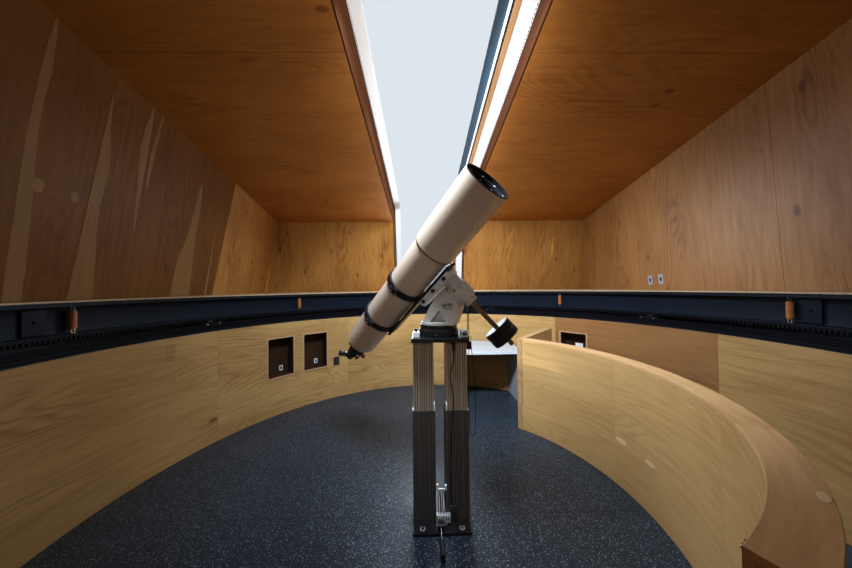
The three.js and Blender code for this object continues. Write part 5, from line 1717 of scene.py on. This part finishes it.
def focuser_pieces():
    """The focuser with its knobs and bright ring, and the elbow with the eyepiece."""
    back = FOCUSER_BACK
    profile = [(0, -1.1303), (0.066, -1.1303), (0.070, -1.134), (0.070, -1.186), (0.067, -1.190)]
    profile += [(0.060, -1.190), (0.060, -1.200), (0.056, -1.206), (0.056, -1.262), (0.060, -1.268)]
    profile += [(0.060, -1.336), (0.055, -1.342), (0.047, -1.342), (0.047, -1.372), (0.052, -1.374)]
    profile += [(0.052, back + 0.002), (0.050, back), (0, back)]
    turned("focuser_body", profile, ON_TUBE, 64, BLACK_PAINT, "telescope", solid=("black_metal", "focuser"))
    bm = new_mesh()
    sideways = Matrix.Rotation(math.radians(-90), 4, "X")
    axle = ON_TUBE @ Matrix.Translation((0, 0, -1.300)) @ sideways
    lathe(bm, section(0, 0.005, -0.066, 0.104), axle, 16, index=1)
    knobs = ((-0.082, -0.062, 0.026), (0.064, 0.088, 0.029), (0.094, 0.112, 0.021), (0.115, 0.124, 0.012))
    for low, high, r in knobs:
        knob = [(0, low), (r - 0.002, low), (r, low + 0.002)]
        knob += [(r, high - 0.002), (r - 0.002, high), (0, high)]
        lathe(bm, knob, axle, 24)
    knob = [(0, 0.0515), (0.006, 0.0515), (0.006, 0.056), (0.020, 0.058), (0.022, 0.061), (0.022, 0.076)]
    knob += [(0.019, 0.079), (0, 0.079)]
    lathe(bm, knob, ON_TUBE @ Matrix.Translation((0, 0, back + 0.013)) @ sideways, 24)
    keep(
        "focuser_knobs", bm, (DARK_KNOB, BRIGHT_STEEL), "telescope", smooth=35,
        solid=("black_metal", "focuser"),
    )
    elbow = ON_TUBE @ Vector((0, 0, back - 0.0363))
    along_tube = facing(TUBE_WAY, elbow)
    eye = facing((ON_TUBE.to_3x3() @ Vector((1, -1, 0))).normalized(), elbow)
    bm = new_mesh()
    profile = [(0, -0.036), (0.030, -0.036), (0.034, -0.030), (0.034, 0.028), (0.031, 0.036), (0, 0.036)]
    lathe(bm, profile, along_tube, 48)
    profile = [(0, -0.020), (0.024, -0.020), (0.027, -0.016), (0.027, 0.040), (0.024, 0.043), (0.021, 0.043)]
    profile += [(0.021, 0.050), (0.0245, 0.053), (0.0245, 0.094), (0.027, 0.097), (0.027, 0.114)]
    profile += [(0.0245, 0.118), (0.017, 0.116), (0.014, 0.112), (0, 0.112)]
    lathe(bm, profile, eye, 48)
    profile = [(0, -0.046), (0.022, -0.046), (0.025, -0.043), (0.025, -0.0365), (0, -0.0365)]
    lathe(bm, profile, along_tube, 32, index=1)
    keep(
        "eyepiece_body", bm, (BLACK_PLASTIC, DARK_KNOB), "telescope", smooth=35,
        solid=("black_metal", "eyepiece"),
    )
    bm = new_mesh()
    lathe(bm, section(0.0238, 0.0252, 0.056, 0.060), eye, 48)
    lathe(bm, section(0.0512, 0.0527, back + 0.0065, back + 0.0095), ON_TUBE, 64)
    keep("focuser_bright_rings", bm, CHROME, "telescope")
    profile = [(0, 0.111), (0.0135, 0.111), (0.0135, 0.1125), (0.007, 0.1135), (0, 0.114)]
    turned("eye_lens", profile, eye, 32, LENS_GLASS, "telescope", 30)


# Cords

LEAD_R, LOOP_R, COIL_WIRE_R, SOCKET_LEAD_R = 0.003, 0.0024, 0.0014, 0.003
COIL_R, COIL_TURNS, COIL_PITCH, COIL_STEP = 0.0075, 36, 0.0062, 0.0033


def smooth_route(points, steps):
    """A smooth line through given points, with even steps between them."""
    points = [Vector(p) for p in points]
    ends = [points[0] * 2 - points[1], *points, points[-1] * 2 - points[-2]]
    route = []
    for a, b, c, d in zip(ends, ends[1:], ends[2:], ends[3:]):
        for k in range(steps):
            t = k / steps
            square, cube = 2 * a - 5 * b + 4 * c - d, 3 * b - a - 3 * c + d
            route.append(0.5 * (2 * b + (c - a) * t + square * t**2 + cube * t**3))
    return [*route, points[-1]]


def cord_piece(name, route, radius, finish, body, sides=12):
    """A round tube on a line of points, closed at both ends. With no body it rides on none and is shaded
    smooth all over.
    """
    bm = new_mesh()
    rings = []
    side = facing(route[1] - route[0]).to_3x3() @ ACROSS
    turns = [math.tau * k / sides for k in range(sides)]
    for i, point in enumerate(route):
        ahead = route[min(i + 1, len(route) - 1)] - route[max(i - 1, 0)]
        ahead.normalize()
        side = (side - ahead * side.dot(ahead)).normalized()
        other = ahead.cross(side)
        spokes = (side * math.cos(a) + other * math.sin(a) for a in turns)
        rings.append([bm.verts.new(point + spoke * radius) for spoke in spokes])
    for here, there in zip(rings, rings[1:]):
        for k in range(sides):
            m = (k + 1) % sides
            bm.faces.new((here[k], here[m], there[m], there[k]))
    bm.faces.new(rings[0])
    bm.faces.new(list(reversed(rings[-1])))
    return keep(name, bm, finish, body, 30 if body else 180)


def front_lead():
    """A lead down the front of the right column, from the top plate to a small box at the foot."""
    y = -0.1135
    placed = [
        (0.090, y, FLOOR + 1.108),
        (0.090, y, FLOOR + 1.063),
        (0.066, y - 0.001, FLOOR + 0.960),
        (0.084, y, FLOOR + 0.805),
        (0.068, y - 0.001, FLOOR + 0.610),
        (0.066, y, FLOOR + 0.461),
        (0.059, y, FLOOR + 0.300),
        (0.060, y, FLOOR + 0.187),
        (0.073, y, FLOOR + 0.145),
        (0.074, y, FLOOR + 0.128),
    ]
    route = smooth_route(placed, 4)
    lead = cord_piece("front_lead", route, LEAD_R, RUBBER_CORD, None)
    profile = [(0, 0), (0.0045, 0), (0.0075, 0.020), (0.011, 0.030)]
    profile += [(0.0125, 0.050), (0.0125, 0.078), (0, 0.078)]
    place = Matrix.Translation((0.090, y + 0.002, FLOOR + 1.106))
    boot = turned("lead_boot", profile, place, 24, BLACK_PLASTIC, "pier_head", 30)
    rows = [((0.054, -0.122, FLOOR + 0.112), (0.094, -0.1078, FLOOR + 0.130))]
    box = boxed("lead_box", rows, DARK_PLASTIC, "building", bevel=0.0015)
    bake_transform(lead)


def side_loop():
    """A loop of thin lead beside the right column, held at both ends by the block on the top plate."""
    y = -0.075
    turn_at, turn_r = Vector((0.212, y, FLOOR + 0.574)), 0.0185
    placed = [
        (0.195, y, PLATE_TOP - 0.003),
        (0.195, y, FLOOR + 1.120),
        (0.191, y, FLOOR + 0.960),
        (0.191, y, FLOOR + 0.800),
        (0.193, y, FLOOR + 0.680),
        (0.1935, y, FLOOR + 0.610),
    ]
    for k in range(7):
        angle = math.pi * (1 + k / 6)
        placed.append(turn_at + turn_r * Vector((math.cos(angle), 0, math.sin(angle))))
    placed += [
        (0.2305, y, FLOOR + 0.610),
        (0.232, y, FLOOR + 0.680),
        (0.234, y, FLOOR + 0.800),
        (0.228, y, FLOOR + 0.960),
        (0.213, y, FLOOR + 1.120),
        (0.209, y, PLATE_TOP - 0.003),
    ]
    route = smooth_route(placed, 2)
    lead = cord_piece("side_loop", route, LOOP_R, RUBBER_CORD, "pier_head")


def curly_route(start, out_way, bend):
    """From straight down at the start into a coil and straight down again, along the wire's middle."""
    middle = start + out_way * COIL_R
    steep = math.atan2(math.tau * COIL_R, COIL_PITCH)
    eased = steep * bend
    run = COIL_TURNS * math.hypot(math.tau * COIL_R, COIL_PITCH) + 2 * eased
    count = math.ceil(run / COIL_STEP)
    step = run / count
    angle = math.atan2(-out_way.y, -out_way.x)
    z = start.z
    route = []
    for k in range(count + 1):
        x, y = middle.x + COIL_R * math.cos(angle), middle.y + COIL_R * math.sin(angle)
        route.append(Vector((x, y, z)))
        along = (k + 0.5) * step
        lean = steep * max(0, min(1, along / eased, (run - along) / eased))
        z -= math.cos(lean) * step
        angle += math.sin(lean) * step / COIL_R
    return route


def handset_cord():
    """The curly cord of the hand controller, which comes out of the casting's face and hangs free."""
    start = Vector((0.1775, -0.003, FLOOR + 1.425))
    straight, bend = 0.009, 0.011
    route = [start, start + POLE_LEVEL * straight * 0.5]
    for k in range(6):
        angle = math.pi / 2 * k / 5
        out, down = straight + bend * math.sin(angle), bend * (1 - math.cos(angle))
        route.append(start + POLE_LEVEL * out - UP * down)
    route += curly_route(route[-1] - UP * 0.003, POLE_LEVEL, 0.009)
    bottom = route[-1]
    route += [bottom - UP * 0.005, bottom - UP * 0.010]
    cord = cord_piece("handset_cord", route, COIL_WIRE_R, RUBBER_CORD, "pier_head", 6)
    bm = new_mesh()
    middle = bottom - UP * 0.033
    half = Vector((0.016, 0.010, 0.025))
    brick(bm, middle - half, middle + half)
    for k in range(4):
        at = middle + Vector((-0.007 + 0.014 * (k % 2), -half.y, 0.010 - 0.014 * (k // 2)))
        lathe(bm, [(0, 0), (0.004, 0), (0.0035, 0.0015), (0, 0.0015)], facing(-ALONG, at), 16, index=1)
    handset = keep("handset", bm, (BLACK_PLASTIC, DARK_KNOB), "pier_head", bevel=0.004)
    profile = [(0, 0), (0.007, 0), (0.007, 0.004), (0.004, 0.010), (0, 0.010)]
    place = facing(POLE_LEVEL, start - POLE_LEVEL * 0.002)
    gland = turned("handset_cord_gland", profile, place, 20, BLACK_PLASTIC, "pier_head", 30)


def socket_leads():
    """Six short leads that hang side by side from the clip between the columns into the outlet box."""
    for number in range(6):
        start, end = -0.0235 + 0.0095 * number, -0.0210 + 0.0098 * number
        middle = (start + end) / 2 + 0.004 * math.sin(1.9 * number)
        placed = [
            (start, -0.1015, FLOOR + 0.224),
            (start, -0.1030, FLOOR + 0.206),
            (middle, -0.1100, FLOOR + 0.160),
            (middle, -0.1160, FLOOR + 0.126),
            (end, -0.1210, FLOOR + 0.098),
            (end, -0.1220, FLOOR + 0.082),
        ]
        route = smooth_route(placed, 3)
        finish = RED_CORD if number in (1, 4) else RUBBER_CORD
        lead = cord_piece(f"socket_lead_{number + 1}", route, SOCKET_LEAD_R, finish, "building")


def cords():
    front_lead()
    socket_leads()
    side_loop()
    handset_cord()


# Lights and surroundings

SKY_LIGHT = (0.74, 0.87, 1.0)
LIGHT_AT, LIGHT_BACK = 0.160, 0.55
SKY_SEEN, SKY_GIVEN = 0.85, 0.30
ROOF_WATTS, WALL_WATTS, FORWARD_WATTS = 36, 48, 100
FRONT_WATTS, UP_WATTS, BOUNCE_WATTS, KEY_WATTS = 1.6, 26, 9, 3500
GROUND_HALF = 40


def area_light(name, at, target, size, power, color, mirrored=False, spread_angle=180, up=ALONG, body=None):
    """A flat lamp. With a body it turns with that body, as daylight through the slit does."""
    data = bpy.data.lights.new(name, "AREA")
    data.shape = "RECTANGLE"
    data.size, data.size_y = size
    data.energy = power
    data.color = color
    data.spread = math.radians(spread_angle)
    lamp = bpy.data.objects.new(name, data)
    lamp.matrix_world = facing(Vector(at) - Vector(target), at, up)
    collection.objects.link(lamp)
    lamp.visible_camera = False
    lamp.visible_glossy = mirrored
    if body:
        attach(lamp, body)


def pale_world():
    """A pale surround that the camera sees brighter than it lights."""
    world = bpy.data.worlds.new("pale_sky")
    scene.world = world
    world.use_nodes = True
    tree = world.node_tree
    background = tree.nodes["Background"]
    background.inputs["Color"].default_value = (0.86, 0.93, 1.0, 1)
    seen = put(tree, "ShaderNodeLightPath").outputs["Is Camera Ray"]
    strength = sums(tree, "MULTIPLY_ADD", seen, SKY_SEEN - SKY_GIVEN, SKY_GIVEN)
    tree.links.new(strength, background.inputs["Strength"])


def slit_lights():
    """Soft daylight in the slit, under the closed shutter too. It turns with the turret."""
    middle = (SLIT_LEFT + SHUTTER_X) / 2
    wide = SHUTTER_X - SLIT_LEFT - 0.04
    corner = Vector((middle, *roof_meets_far(LIGHT_AT)))
    back = Vector((middle, LIGHT_BACK, face_height("roof", LIGHT_BACK, LIGHT_AT)))
    foot = Vector((middle, far_at(SILL, LIGHT_AT), SILL))
    for name, end, face, watts in (
        ("light_of_roof_slit", back, "roof", ROOF_WATTS),
        ("light_of_wall_slit", foot, "far", WALL_WATTS),
    ):
        at, long = (corner + end) / 2, (corner - end).length - 0.1
        area_light(name, at, at - FACES[face][0], (wide, long), watts, SKY_LIGHT, True, body="turret")
    at, target = (middle, -0.55, FLOOR + 3.20), (0.55, 2.2, FLOOR + 0.7)
    area_light("forward_light", at, target, (0.9, 0.4), FORWARD_WATTS, SKY_LIGHT, False, 120, UP, "turret")


def room_lights():
    """A weak fill from the camera's side, and light that the floor and the slit's edges throw back."""
    at, target = (-0.2, -2.1, FLOOR + 1.9), (-0.1, 0.0, FLOOR + 1.1)
    area_light("front_fill", at, target, (1.6, 0.8), FRONT_WATTS, (1.0, 0.95, 0.90), spread_angle=70)
    at, target = (0.1, 0.6, FLOOR + 2.75), (0.1, 0.8, FLOOR + 4)
    area_light("slit_uplight", at, target, (0.5, 3.0), UP_WATTS, (1.0, 0.96, 0.92), body="turret")
    at, target = (0.5, 1.5, FLOOR + 0.7), (0.5, 1.5, FLOOR + 3)
    area_light("floor_bounce", at, target, (2.4, 1.6), BOUNCE_WATTS, (1.0, 0.90, 0.78))
    area_light("outside_key", (10, -13, 12), (0, 0, 3.5), (4, 4), KEY_WATTS, (1.0, 0.98, 0.95))


def pale_ground():
    """The studio floor, which isn't part of the object."""
    bm = bmesh.new()
    bmesh.ops.create_grid(bm, x_segments=1, y_segments=1, size=GROUND_HALF)
    mesh = bpy.data.meshes.new("pale_ground")
    bm.to_mesh(mesh)
    bm.free()
    ground = bpy.data.objects.new("pale_ground", mesh)
    collection.objects.link(ground)
    mesh.materials.append(paint("studio_floor", (0.62, 0.62, 0.62), 0.8, depth=0.02, scale=5.0))


def surroundings():
    pale_world()
    slit_lights()
    room_lights()
    pale_ground()
    scene.view_settings.view_transform = "Standard"
    scene.view_settings.look = "None"


# The CAD nodes that stay, and the making of it all

DRESSED = {
    CONCRETE: ["ground_slab"],
    CLADDING: [
        *(f"drum_wall_{number}" for number in range(1, 7)),
        *(f"turret_wall_{side}" for side in ("left", "right", "near", "far")),
        *("turret_roof_left", "turret_roof_right", "shutter"),
    ],
    DOOR_PAINT: ["door_frame", "entrance_door"],
    FLOOR_RUBBER: ["observing_floor_left", "observing_floor_right"],
    GUARD_PLY_SOLID: ["stair_guard_return"],
    DECK_PLY: ["turret_base_left", "turret_base_right"],
    CURB_STEEL: ["shutter_rail_near", "shutter_rail_far"],
    WHITE_PAINT: ["slit_upstand_left", "slit_upstand_right"],
    DESK_WHITE: ["desk"],
    CAST_PAINT: ["mount_casting"],
}


def dress_nodes():
    """Gives the CAD nodes that stay their finishes."""
    for finish, nodes in DRESSED.items():
        for node in nodes:
            for slot in cad[node].material_slots:
                slot.material = finish


make_camera()
cords()
round_lining()
niche_boxes()
wall_fittings()
stair_guard()
guard_patches()
curb()
desk_trim()
entrance_details()
lower_lining()
outside_cladding()
turret_ring()
ring_grips()
turret_lining()
slit_reveals()
switch_plates()
patches()
tongues()
turret_cladding()
deck_trim()
deck_ring()
shutter_trim()
pier_columns()
pier_plates()
pier_lever()
pier_fittings()
mount_pieces()
mount_controls()
telescope_tube()
tube_holders()
focuser_pieces()
dress_nodes()
surroundings()
